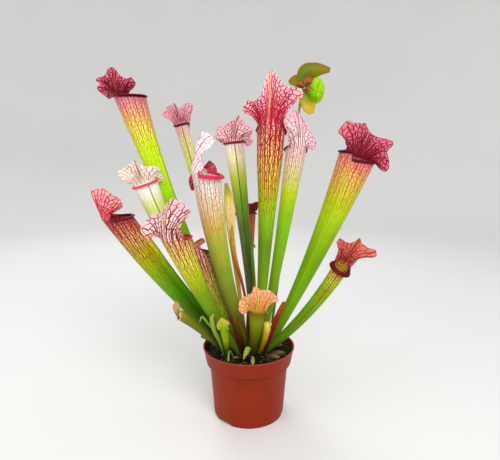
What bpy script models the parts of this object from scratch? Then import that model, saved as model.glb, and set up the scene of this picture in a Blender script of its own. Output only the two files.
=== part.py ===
"""A trumpet pitcher plant in a round plastic nursery pot, modelled at its real size.

The plant is a crown of hollow pitcher leaves on one rhizome, each with a rolled lip and a waved hood,
with young leaves, withered ones and a nodding flower. Units are metres, +Z is up, and the origin is
the middle of the pot's underside, on the surface that it stands on. The viewer's side is -Y.
"""

import math

import bmesh
import bpy
import numpy as np

# Driving dimensions
POT_RIM_RADIUS = 0.0600
POT_BASE_RADIUS = 0.0460
POT_BODY_TOP_RADIUS = 0.0515
POT_BAND_FOOT_RADIUS = 0.0556
POT_HEIGHT = 0.0910
POT_BAND_HEIGHT = 0.0195
POT_SHOULDER_HEIGHT = 0.0024
POT_WALL = 0.0014
POT_FLOOR = 0.0016
POT_SIDES = 44
FLOOR_HOLE_RADIUS = 0.0042
FLOOR_HOLE_CIRCLE = 0.0270
FLOOR_HOLES = 6
NOTCH_WIDTH = 0.0190
NOTCH_HEIGHT = 0.0030
NOTCH_AZIMUTHS = (-131, -11, 109)

SOIL_TOP = 0.0840
SOIL_MOUND = 0.0012
GAP = 0.0003
HOLE_GAP = 0.0004

WALL = 0.0009
FOOT_DEPTH = 0.0070
HOLE_TOP = 0.0100
UP = np.array([0.0, 0.0, 1.0])

# Shape of every pitcher leaf: columns crowd to the back, and the hood's edge turns this far round
COLUMN_CROWDING = 0.35
HOOD_EDGE_TURN = math.radians(142)
HOOD_BLEND = math.radians(24)
HOOD_SPREAD = 0.025
HEART_HEIGHT = 0.45
KEEL_SPREAD = math.radians(13)
SEAM_SPREAD = 0.9
TUBE_ROWS = (0.13, 0.30, 0.48, 0.65, 0.79, 0.91, 1.0)
CAVITY_ROW = 3

# Finish of each kind of piece: linear base colour and roughness
FINISHES = {
    "pink_net": ((0.72, 0.30, 0.30), 0.45),
    "crimson_net": ((0.42, 0.07, 0.10), 0.45),
    "white_net": ((0.86, 0.76, 0.68), 0.45),
    "young_leaf": ((0.36, 0.52, 0.08), 0.5),
    "yellow_leaf": ((0.75, 0.55, 0.12), 0.5),
    "withered_leaf": ((0.28, 0.06, 0.03), 0.6),
    "flower": ((0.32, 0.52, 0.05), 0.45),
    "soil": ((0.030, 0.024, 0.016), 0.95),
    "pot_plastic": ((0.46, 0.085, 0.040), 0.45),
}


def clear_scene():
    for old in list(bpy.data.objects):
        bpy.data.objects.remove(old)


def finish(name):
    """One Principled material for each finish, made once."""
    if name in bpy.data.materials:
        return bpy.data.materials[name]
    colour, roughness = FINISHES[name]
    made = bpy.data.materials.new(name)
    made.use_nodes = True
    shader = made.node_tree.nodes["Principled BSDF"]
    shader.inputs["Base Color"].default_value = (*colour, 1.0)
    shader.inputs["Roughness"].default_value = roughness
    return made


def object_of(name, points, faces, finish_name):
    """A mesh object of a closed shell of points and faces, with the faces turned outwards."""
    mesh = bpy.data.meshes.new(name)
    mesh.from_pydata([tuple(p) for p in points], [], [tuple(f) for f in faces])
    shell = bmesh.new()
    shell.from_mesh(mesh)
    bmesh.ops.recalc_face_normals(shell, faces=shell.faces)
    if shell.calc_volume(signed=True) < 0:
        bmesh.ops.reverse_faces(shell, faces=shell.faces)
    shell.to_mesh(mesh)
    shell.free()
    mesh.materials.append(finish(finish_name))
    mesh.shade_smooth()
    mesh.set_sharp_from_angle(angle=math.radians(40))
    made = bpy.data.objects.new(name, mesh)
    bpy.context.scene.collection.objects.link(made)
    return made


def loft(name, rings, finish_name):
    """A closed solid through rings of as many points each, with flat ends."""
    count, sides = rings.shape[:2]
    faces = [list(range(sides))[::-1], [(count - 1) * sides + c for c in range(sides)]]
    for row in range(count - 1):
        low, top = row * sides, (row + 1) * sides
        for column in range(sides):
            after = (column + 1) % sides
            faces.append((low + column, low + after, top + after, top + column))
    return object_of(name, rings.reshape(-1, 3), faces, finish_name)


def turned(name, profile, sides, finish_name):
    """A closed solid turned round Z from radius and height pairs that start and end on the axis."""
    points, faces, rings = [], [], []
    for radius, height in profile:
        if radius < 1e-9:
            rings.append([len(points)] * sides)
            points.append((0, 0, height))
            continue
        rings.append(list(range(len(points), len(points) + sides)))
        for side in range(sides):
            angle = 2 * math.pi * side / sides
            points.append((radius * math.cos(angle), radius * math.sin(angle), height))
    for low, top in zip(rings, rings[1:]):
        for side in range(sides):
            after = (side + 1) % sides
            corners = dict.fromkeys((low[side], low[after], top[after], top[side]))
            faces.append(tuple(corners))
    return object_of(name, points, faces, finish_name)


def as_cutter(cutter):
    cutter.hide_render = True
    cutter.display_type = "WIRE"
    return cutter


def boolean(body, other, operation="DIFFERENCE"):
    """A Boolean modifier on the body, with the other solid left as its guide."""
    made = body.modifiers.new(f"{operation.lower()}_{other.name}", "BOOLEAN")
    made.operation, made.solver, made.object = operation, "EXACT", as_cutter(other)


def eased(x):
    x = np.clip(x, 0.0, 1.0)
    return x * x * (3 - 2 * x)


def unit(vectors):
    return vectors / np.linalg.norm(vectors, axis=-1, keepdims=True)


def across(vectors, axes):
    """The part of each vector that is square to its axis, at length 1."""
    return unit(vectors - (vectors * axes).sum(-1, keepdims=True) * axes)


def smooth_through(stations, at):
    """Catmull-Rom values through stations, at places counted in stations."""
    ends = np.vstack([2 * stations[0] - stations[1], stations, 2 * stations[-1] - stations[-2]])
    k = np.clip(np.floor(at).astype(int), 0, len(stations) - 2)
    t = (at - k)[:, None]
    a, b, c, d = ends[k], ends[k + 1], ends[k + 2], ends[k + 3]
    return 0.5 * (2 * b + (c - a) * t + (2 * a - 5 * b + 4 * c - d) * t**2 + (3 * b - 3 * c + d - a) * t**3)


class Pitcher:
    """The sizes of one pitcher leaf.

    foot is where its stalk leaves the soil, mouth the middle of its mouth, and bow pulls the tube's
    middle aside. facing is the azimuth that the mouth opens to, 0 along +X and 90 along +Y, slant how
    far its rim is higher at the back, and step how far it rises on one side of the front seam and sinks
    on the other. The hood stands on the back of the rim, over neck_turn degrees to each side, and twist
    turns it about the tube. Its edge goes through points in millimetres to the side of the rim's back,
    above it and, where given, forward over the mouth, with its tip in the middle of the list. lean is
    how far it nods in degrees, cup how far its sides come forward (or, below 0, fold back), and ruffle
    the height of its edge's waves.
    """

    def __init__(self, name, foot, mouth, facing, mouth_radius, foot_radius=0.0042, **more):
        self.name = name
        self.foot = np.array([*foot, SOIL_TOP])
        self.mouth = np.array(mouth, float)
        self.facing = math.radians(facing)
        self.mouth_radius = mouth_radius
        self.foot_radius = foot_radius
        self.bow = np.array(more.pop("bow", (0, 0, 0)), float)
        self.swell = more.pop("swell", 1.6)
        self.belly = more.pop("belly", 0.0)
        self.slant = more.pop("slant", 0.25)
        self.step = more.pop("step", 0.0)
        self.lip = more.pop("lip", 0.0022)
        self.keel = more.pop("keel", 0.0016)
        self.hood = np.array([(*point, 0)[:3] for point in more.pop("hood")]) / 1000
        self.lean = math.radians(more.pop("lean", 20))
        self.cup = more.pop("cup", -0.15)
        self.twist = math.radians(more.pop("twist", 0))
        self.ruffle = more.pop("ruffle", 0.003)
        self.waves = more.pop("waves", 4.0)
        self.phase = more.pop("phase", 0.0)
        self.neck_turn = math.radians(more.pop("neck_turn", 66))
        self.columns = more.pop("columns", 20)
        self.crown_steps = more.pop("crown_steps", 5)
        self.finish = more.pop("finish", "pink_net")
        if more:
            raise ValueError(f"{name}: unknown sizes {sorted(more)}")
        self.length = np.linalg.norm(self.mouth - self.foot)

    def middle(self, along):
        """Points and directions of the tube's middle line, from 0 at the soil to 1 at the mouth."""
        s = np.asarray(along, float)[..., None]
        knee = (self.foot + self.mouth) / 2 + self.bow
        above = np.clip(s, 0, 1)
        points = (1 - above) ** 2 * self.foot + 2 * above * (1 - above) * knee + above**2 * self.mouth
        axis = unit((1 - above) * (knee - self.foot) + above * (self.mouth - knee))
        return points + (s - above) * self.length * axis, axis

    def frame(self, along):
        """Middle line, its direction, and the back and side directions square to it."""
        points, axis = self.middle(along)
        back = np.array([-math.cos(self.facing), -math.sin(self.facing), 0.0])
        back = across(np.broadcast_to(back, axis.shape), axis)
        return points, axis, back, np.cross(axis, back)

    def radius(self, along):
        s = np.clip(along, 0, 1)
        trumpet = self.foot_radius + (self.mouth_radius - self.foot_radius) * s**self.swell
        return trumpet * (1 + self.belly * np.exp(-(((s - 0.86) / 0.1) ** 2)))

    def tube(self, along, angle):
        """Points of the tube: a row for each place along it, a column for each angle, 0 at the back."""
        points, axis, back, side = (a[:, None, :] for a in self.frame(along))
        s = np.asarray(along, float)[:, None]
        keel = self.keel * eased(s / 0.4) * eased((1.05 - s) / 0.3)
        keel = keel * np.exp(-(((math.pi - np.abs(angle)) / KEEL_SPREAD) ** 2))
        out = (self.radius(s) + keel)[..., None]
        from_seam = np.exp(-(((math.pi - np.abs(angle)) / SEAM_SPREAD) ** 2))
        rise = self.slant * self.mouth_radius * np.cos(angle) * eased((s - 0.75) / 0.25)
        rise = rise + self.step * np.sign(angle) * from_seam * eased((s - 0.9) / 0.1)
        ring = np.sin(angle)[:, None] * side + np.cos(angle)[:, None] * back
        return points + out * ring + rise[..., None] * axis

    def hood_edge(self, angle, back_rim):
        """Points of the hood's edge for the columns that reach it, its heart, and how it rises."""
        _, axis, back, side = (a[0] for a in self.frame([1.0]))
        turn, aside = math.cos(self.twist), math.sin(self.twist)
        back, side = turn * back + aside * side, turn * side - aside * back
        share = np.clip(angle / self.neck_turn, -1, 1)
        x, y, forward = smooth_through(self.hood, (share + 1) / 2 * (len(self.hood) - 1)).T
        tip_height = self.hood[len(self.hood) // 2, 1]
        edge = share * HOOD_EDGE_TURN
        wave = np.sin(self.waves * edge + self.phase)
        small_wave = np.sin(2.3 * self.waves * edge + 2 * self.phase + 1)
        far = 1 + 0.02 * small_wave
        x, y = x * far, HEART_HEIGHT * tip_height + (y - HEART_HEIGHT * tip_height) * far
        bend = self.lean / tip_height

        def place(x, y, forward):
            curl = (bend * y)[:, None]
            middle = back_rim + axis * np.sin(curl) / bend - back * (1 - np.cos(curl)) / bend
            face = -back * np.cos(curl) - axis * np.sin(curl)
            return middle + side * x[:, None] + face * forward[:, None]

        forward = forward + self.cup * x**2 / HOOD_SPREAD + self.ruffle * (wave + 0.35 * small_wave)
        heart = place(np.zeros(1), np.array([HEART_HEIGHT * tip_height]), np.zeros(1))
        return place(x, y, forward), heart, axis * 0.9 - back * 0.1

    def crown(self, shares, angle, rim):
        """Rows past the rim: the hood over the back of the mouth, the rolled lip round the rest."""
        _, axis, back, side = (a[0] for a in self.frame([1.0]))
        turn = np.abs(angle)
        hooded = (1 - eased((turn - self.neck_turn) / HOOD_BLEND))[:, None]
        hood_edge, heart, rising = self.hood_edge(angle, rim[np.argmin(turn)])
        reach = np.linalg.norm(hood_edge - rim, axis=1, keepdims=True)
        outward = np.sin(angle)[:, None] * side + np.cos(angle)[:, None] * back
        lip_edge = rim + outward * self.lip - axis * self.lip * 0.7
        end = hooded * hood_edge + (1 - hooded) * lip_edge
        first = hooded * rising * reach + (1 - hooded) * (axis + outward * 0.5) * self.lip * 1.7
        last = hooded * unit(hood_edge - heart) * reach * 0.8 - (1 - hooded) * axis * self.lip * 1.5
        w = np.asarray(shares)[:, None, None]
        return (
            (2 * w**3 - 3 * w**2 + 1) * rim
            + (w**3 - 2 * w**2 + w) * first
            + (3 * w**2 - 2 * w**3) * end
            + (w**3 - w**2) * last
        )

    def angles(self):
        """Column angles, closer together at the back, where the hood fans out."""
        share = np.arange(self.columns) / self.columns * 2 - 1
        return math.pi * (share * (1 - COLUMN_CROWDING) + COLUMN_CROWDING * share**3)

    def hole(self):
        """A cutter round the buried stalk, from under its foot to above the soil."""
        along = np.array([-FOOT_DEPTH - 0.001, 0, HOLE_TOP]) / self.length
        points, _, back, side = (a[:, None, :] for a in self.frame(along))
        angle = np.arange(8) / 8 * 2 * math.pi
        out = (self.radius(along[-1]) + WALL / 2 + HOLE_GAP) / math.cos(math.pi / 8)
        ring = np.sin(angle)[:, None] * side + np.cos(angle)[:, None] * back
        return as_cutter(loft(f"hole_{self.name}", points + out * ring, "soil"))

    def build(self):
        """A closed wall round an open cavity. The tube has half as many columns as hood and lip."""
        angle = self.angles()
        tube = self.tube(np.array([-FOOT_DEPTH / self.length, *TUBE_ROWS]), angle)
        shares = np.arange(1, self.crown_steps + 1) / self.crown_steps
        sheet = np.concatenate([tube, self.crown(shares, angle, tube[-1])])
        lift = sheet_normals(sheet) * WALL / 2
        rim_row, last_row, n = len(tube) - 1, len(sheet) - 1, self.columns
        points, index = [], {}
        for face, shift in (("outer", lift), ("inner", -lift)):
            for row in range(0 if face == "outer" else CAVITY_ROW, last_row + 1):
                for column in range(0, n, 2 if row < rim_row else 1):
                    index[face, row, column] = len(points)
                    points.append(sheet[row, column] + shift[row, column])

        def strips(face, first):
            for row in range(first, last_row):
                step = 2 if row < rim_row else 1
                for column in range(0, n, step):
                    after = (column + step) % n
                    low_a, low_b = index[face, row, column], index[face, row, after]
                    top_a, top_b = index[face, row + 1, column], index[face, row + 1, after]
                    if step == 2 and row + 1 == rim_row:
                        top_middle = index[face, rim_row, column + 1]
                        yield (low_a, top_middle, top_a)
                        yield (low_a, low_b, top_middle)
                        yield (low_b, top_b, top_middle)
                    elif column < n // 2:
                        yield (low_a, low_b, top_b)
                        yield (low_a, top_b, top_a)
                    else:
                        yield (low_a, low_b, top_a)
                        yield (low_b, top_b, top_a)

        faces = list(strips("outer", 0)) + [f[::-1] for f in strips("inner", CAVITY_ROW)]
        for column in range(n):
            after = (column + 1) % n
            outer_a, outer_b = index["outer", last_row, column], index["outer", last_row, after]
            inner_a, inner_b = index["inner", last_row, column], index["inner", last_row, after]
            faces += [(outer_a, outer_b, inner_b), (outer_a, inner_b, inner_a)]
        faces.append([index["outer", 0, c] for c in range(0, n, 2)][::-1])
        faces.append([index["inner", CAVITY_ROW, c] for c in range(0, n, 2)])
        return object_of(self.name, points, faces, self.finish)


def sheet_normals(sheet):
    """Outward directions of a sheet of rows and columns that closes round its columns."""
    along = np.gradient(sheet, axis=0)
    around = np.roll(sheet, -1, axis=1) - np.roll(sheet, 1, axis=1)
    normals = unit(np.cross(around, along))
    outward = sheet[0] - sheet[0].mean(axis=0)
    return normals if (normals[0] * outward).sum() > 0 else -normals


class Stem:
    """A solid leaf or stalk through points, each with its width and thickness there.

    The first point is at the soil and the stem goes on below it, unless it is rootless. Its width
    lies across flat_to, the direction that its flat side looks to.
    """

    def __init__(self, name, stations, finish_name, flat_to=(0, -1, 0), rows=8, sides=8, rooted=True):
        self.name, self.finish, self.sides = name, finish_name, sides
        self.flat_to = np.array(flat_to, float)
        path = np.array([s[0] for s in stations], float)
        size = np.array([s[1:] for s in stations], float)
        self.rooted = rooted
        if rooted:
            below = path[0] - unit(path[1] - path[0]) * FOOT_DEPTH
            path, size = np.vstack([below, path]), np.vstack([size[0], size])
        at = np.linspace(rooted, len(path) - 1, rows)
        at = np.concatenate([[0], at]) if rooted else at
        self.path, self.size = smooth_through(path, at), smooth_through(size, at)
        self.root_path, self.root_size = path[:2], size[:2]

    def rings(self, path, size, wider=0.0):
        axis = unit(np.gradient(path, axis=0))
        face = across(np.broadcast_to(self.flat_to, axis.shape), axis)[:, None, :]
        side = np.cross(axis[:, None, :], face)
        angle = np.arange(self.sides) / self.sides * 2 * math.pi
        half = (size / 2 + wider)[:, None, :]
        return (
            path[:, None, :]
            + side * (np.cos(angle) * half[..., 0])[..., None]
            + face * (np.sin(angle) * half[..., 1])[..., None]
        )

    def build(self):
        return loft(self.name, self.rings(self.path, self.size), self.finish)

    def hole(self):
        low, soil = self.root_path
        down = unit(low - soil)
        path = np.array([low + down * 0.001, soil, soil - down * HOLE_TOP])
        size = np.array([self.root_size[0]] * 2 + [self.root_size[1] * 1.15])
        return as_cutter(loft(f"hole_{self.name}", self.rings(path, size, HOLE_GAP), "soil"))


def blade(name, base, knee, tip, half_width, flat_to, cup, finish_name, rows=5, columns=4, thick=0.0011):
    """A pointed curved plate from base to tip, bowed towards the knee and cupped across its width."""
    base, knee, tip = (np.array(p, float) for p in (base, knee, tip))
    v = np.linspace(0, 1, rows + 1)[:, None]
    spine = (1 - v) ** 2 * base + 2 * v * (1 - v) * knee + v**2 * tip
    axis = unit((1 - v) * (knee - base) + v * (tip - knee))
    face = across(np.broadcast_to(np.array(flat_to, float), axis.shape), axis)
    side = np.cross(axis, face)
    width = half_width * np.sin(math.pi * (0.14 + 0.80 * v)) ** 0.8
    u = np.linspace(-1, 1, columns + 1)[:, None]
    sheet = spine[:, None] + side[:, None] * (u * width[:, None])
    sheet = sheet + face[:, None] * (cup * width[:, None] * u**2)
    top = sheet + face[:, None] * thick / 2
    low = (sheet - face[:, None] * thick / 2)[:, ::-1]
    return loft(name, np.concatenate([top, low], axis=1), finish_name)


PITCHERS = [
    Pitcher("pitcher_tall_left", (-0.013, 0.018), (-0.1560, 0.040, 0.4150), -25, 0.0195,
            bow=(-0.017, 0, -0.004), swell=1.9, slant=0.35, lean=2, cup=0.10, twist=-45, ruffle=0.0035,
            waves=4.2, hood=((-13, -3.5), (-14.5, 0.5), (-18.5, 4.5), (-27, 8.5), (-24.5, 19), (-18, 20),
                             (-13.5, 26.5), (-7.5, 36), (0.5, 37), (6.5, 29.5), (12.5, 31), (19.5, 26),
                             (17, 19), (21.5, 12.5), (11, 0)), finish="crimson_net"),
    Pitcher("pitcher_far_left", (-0.004, 0.028), (-0.0995, 0.100, 0.386), -82, 0.0095, 0.0034,
            bow=(-0.004, 0.004, 0), slant=0.35, lean=-18, cup=0.30, ruffle=0.0025, waves=3.5,
            hood=((-10, -10), (-17, 7.5), (-24, 18.5), (-17, 29), (-5.5, 27.5), (1.5, 35.5), (9, 32.5),
                  (15.5, 28), (23.5, 20), (13, 7), (10.5, -2)), columns=16, crown_steps=4),
    Pitcher("pitcher_centre", (0.008, 0.027), (-0.0198, 0.045, 0.356), -86, 0.0132, 0.0040,
            bow=(0.004, 0, -0.004), swell=1.7, slant=0.10, lean=-6, cup=-0.15, ruffle=0.003, waves=4.5,
            hood=((-15.5, -4), (-20, -7.5), (-27, -1.5), (-24.5, 5), (-26.5, 11), (-26.5, 17.5),
                  (-20, 23.5), (-16, 32), (-11, 36.5), (-6.5, 30), (0.5, 29), (8.5, 25.5), (16, 25),
                  (22, 18.5), (23, 8.5), (18, 2.5), (11.5, 4))),
    Pitcher("pitcher_white", (-0.001, 0.000), (-0.0480, -0.045, 0.3145), -12, 0.0160, 0.0046,
            bow=(-0.015, -0.010, 0.004), swell=1.1, slant=0.25, lean=4, cup=0, ruffle=0.002, waves=3.5,
            neck_turn=62, lip=0.004, twist=90, hood=((7, 4, 8), (6.5, 13.5, 8), (11.5, 22, 10),
                  (20, 27.5, 11), (21, 35, 10), (18, 41, 7), (15, 42.5, 3), (23.5, 39.5), (28, 32.5),
                  (24.5, 24), (16.5, 20.5, -2), (13, 11.5, -3), (14, 2.5, -3)), finish="white_net"),
    Pitcher("pitcher_tall_right", (0.0125, 0.009), (0.0270, -0.010, 0.366), 75, 0.0165, 0.0044,
            bow=(0.002, -0.004, 0), swell=1.6, belly=0.08, slant=0.35, lean=22, cup=-0.10, ruffle=0.002,
            waves=3.6, phase=0.6, hood=((-11, -2.5), (-16, 5), (-25.5, 10.5), (-31.5, 15.5), (-27.5, 25),
                  (-18.5, 25), (-10, 33), (-7.5, 51), (-2.5, 63.5), (4.5, 59.5), (11, 50), (19, 41.5),
                  (32, 38.5), (39.5, 29.5), (30, 23), (21, 13), (19, 0.5)), finish="crimson_net",
            columns=24),
    Pitcher("pitcher_right", (0.019, 0.021), (0.0642, 0.050, 0.3474), 104, 0.0138, 0.0042,
            bow=(0.002, 0, -0.004), swell=1.45, slant=0.30, lean=14, cup=-0.10, ruffle=0.002, waves=4.0,
            phase=1.1, hood=((-14, -4.5), (-19.5, 4.5), (-21, 13.5), (-26, 22.5), (-20, 37.5),
                             (-11.5, 45.5), (-3, 38.5), (4, 26), (21.5, 8), (18.5, -3), (10, -2.5))),
    Pitcher("pitcher_big_right", (0.027, 0.010), (0.1356, 0.005, 0.335), -115, 0.0225, 0.0044,
            bow=(0.006, 0, -0.008), swell=1.35, slant=0.10, lean=-6, cup=0.12, ruffle=0.004, waves=4.4,
            phase=0.4, step=0.004, hood=((-21.5, 0), (-27.5, -5), (-36.5, -6.5), (-39, 2.5), (-30, 15.5),
                  (-34, 27), (-27, 32), (-10.5, 33.5), (-3, 32.5), (4, 38), (11, 43.5), (21.5, 43),
                  (33.5, 38), (38, 21.5), (25.5, 20), (26, 13), (17.5, 6.5)), finish="crimson_net",
            columns=24),
    Pitcher("pitcher_low_right", (0.021, -0.005), (0.1120, -0.030, 0.202), -100, 0.0092, 0.0042,
            bow=(0.006, 0, -0.014), swell=1.1, slant=0.35, lean=4, cup=0.1, ruffle=0.002, waves=3.5,
            lip=0.0045, neck_turn=60, hood=((-11.5, 1.5), (-13.5, 13.5), (-17.5, 20.5), (-25, 25.5),
                  (-28, 31), (-24.5, 35.5), (-15.5, 32.5), (-6.5, 34), (-1, 37.5), (1.5, 33), (6, 27),
                  (12, 25), (19, 25.5), (19.5, 20.5), (16.5, 15), (13, 11.5), (9.5, -1.5)),
            finish="crimson_net"),
    Pitcher("pitcher_cream", (-0.021, 0.010), (-0.1262, -0.012, 0.3025), -65, 0.0145, 0.0040,
            bow=(-0.014, 0, 0), swell=1.6, slant=0.05, lean=-2, cup=-0.1, ruffle=0.003, waves=4.0,
            hood=((-18, -6), (-25.5, -4.5), (-27.5, 1.5), (-23, 14), (-12, 17.5), (-4, 24.5), (-1, 30),
                  (4.5, 27.5), (11, 26.5), (19, 24.5), (23.5, 19.5), (19.5, 9.5), (11.5, 2)),
            finish="white_net"),
    Pitcher("pitcher_low_left", (-0.019, -0.003), (-0.1575, -0.025, 0.262), 0, 0.0160,
            bow=(-0.010, 0, -0.010), swell=1.1, slant=0.45, lean=4, cup=0, ruffle=0.0025, waves=3.8,
            keel=0.0060, twist=85, hood=((-1, 1.5, 12), (6, 7.5, 13), (18.5, 6, 14), (19.5, 16, 13),
                  (14, 27.5, 10), (4, 35, 4), (14, 34, 2), (26, 25.5), (32, 11), (30.5, 1, -1),
                  (14.5, 0, -3)), finish="crimson_net"),
    Pitcher("pitcher_front_left", (-0.012, -0.013), (-0.0795, -0.070, 0.244), 56, 0.0152, 0.0042,
            bow=(-0.007, -0.002, -0.006), swell=1.6, slant=0.30, lean=16, cup=-0.1, ruffle=0.003,
            waves=4.2, phase=0.5, twist=20, hood=((-5.5, 10.5), (-14, 8), (-19, 13.5), (-21.5, 21),
                  (-13, 27.5), (-5, 33), (5.5, 31.5), (14.5, 37), (22.5, 44.5), (28.5, 42), (35, 36),
                  (42.5, 33.5), (42, 29), (37, 23.5), (30.5, 21), (26, 16), (24, 11)), columns=24),
    Pitcher("pitcher_low_back", (-0.0095, 0.007), (-0.0585, -0.014, 0.2200), 30, 0.0115, 0.0036,
            bow=(-0.008, 0, -0.002), slant=0.6, lean=20, ruffle=0.002, waves=3.0, twist=45,
            hood=((-1, -8), (1, -0.5), (5.5, 5), (16, 10.5), (19.5, 6.5), (12.5, 1), (13, -3.5)),
            finish="crimson_net", columns=16, crown_steps=4),
    Pitcher("pitcher_small_back", (-0.002, 0.037), (0.0032, 0.100, 0.255), -85, 0.0068, 0.0024,
            bow=(0.002, -0.006, 0), slant=0.1, lean=10, ruffle=0.0025, waves=4.0, swell=2.2,
            hood=((-4.5, 2.5), (-10, 7), (-12, 12.5), (-10.5, 20), (-3.5, 17.5), (4, 16.5), (10, 13),
                  (19.5, 9.5), (23, -0.5), (19, -6.5), (8.5, 0)), finish="crimson_net", columns=16,
            crown_steps=4),
    Pitcher("pitcher_hidden", (-0.014, 0.029), (-0.0603, 0.040, 0.308), -60, 0.0110, 0.0034,
            bow=(-0.006, 0, 0), slant=0.1, lean=5, ruffle=0.003, waves=4.0, twist=-20,
            hood=((-11, -12), (-15.5, -10), (-21.5, -6.5), (-25.5, 0), (-24, 8), (-21.5, 17.5),
                  (-15.5, 22), (-8.5, 16), (0, 14), (12, 7), (17, -2.5), (15, -14.5), (8.5, -12)),
            finish="crimson_net", columns=16, crown_steps=4),
    Pitcher("pitcher_front_small", (0.0045, -0.012), (0.0108, -0.040, 0.150), 82, 0.0104, 0.0040,
            bow=(0, -0.006, -0.002), slant=0.3, lean=14, cup=-0.10, ruffle=0.002, waves=4.2, keel=0.003,
            hood=((-11.5, 0.5), (-16, -2), (-21.5, 5), (-20.5, 14.5), (-14, 21.5), (-8.5, 26),
                  (-6, 33.5), (2, 30.5), (13, 31.5), (20, 27.5), (23.5, 21), (14.5, 16), (11, 7.5)),
            finish="yellow_leaf", crown_steps=4),
    Pitcher("pitcher_young_left", (-0.025, -0.025), (-0.0293, -0.048, 0.131), 75, 0.0046, 0.0018,
            bow=(0, -0.002, 0), swell=1.0, slant=0.3, lean=15, ruffle=0.001, waves=3.0, keel=0.001,
            lip=0.001, hood=((-4, 1), (-7, 6.5), (-4, 13.5), (0, 18.5), (6, 15.5), (10.5, 14), (7, 8.5)),
            finish="young_leaf", columns=12, crown_steps=3),
    Pitcher("pitcher_young_right", (0.0135, -0.0126), (0.0230, -0.030, 0.1312), 100, 0.0050, 0.0020,
            bow=(0.0034, -0.004, 0), swell=1.0, slant=0.3, lean=10, ruffle=0.001, waves=3.0, keel=0.002,
            lip=0.001, hood=((-6, -1), (-5.5, 3), (-4, 5), (-1.5, 4.5), (1.5, 0.5), (4, -3), (1, -5.5)),
            finish="young_leaf", columns=12, crown_steps=3),
    Pitcher("pitcher_young_low", (-0.031, -0.010), (-0.0812, -0.046, 0.1475), 180, 0.0058, 0.0028,
            bow=(0.000, -0.004, 0.010), swell=0.7, slant=0.0, lean=4, ruffle=0.0005, waves=3.0,
            keel=0.001, lip=0.0008, twist=85, hood=((7.5, 1.5), (-3.5, 7.5), (-10.5, 15.5), (-11, 20.5),
                  (-2, 17.5), (4.5, 11, 1), (13.5, -0.5)), finish="young_leaf", columns=12, crown_steps=3),
]

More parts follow.
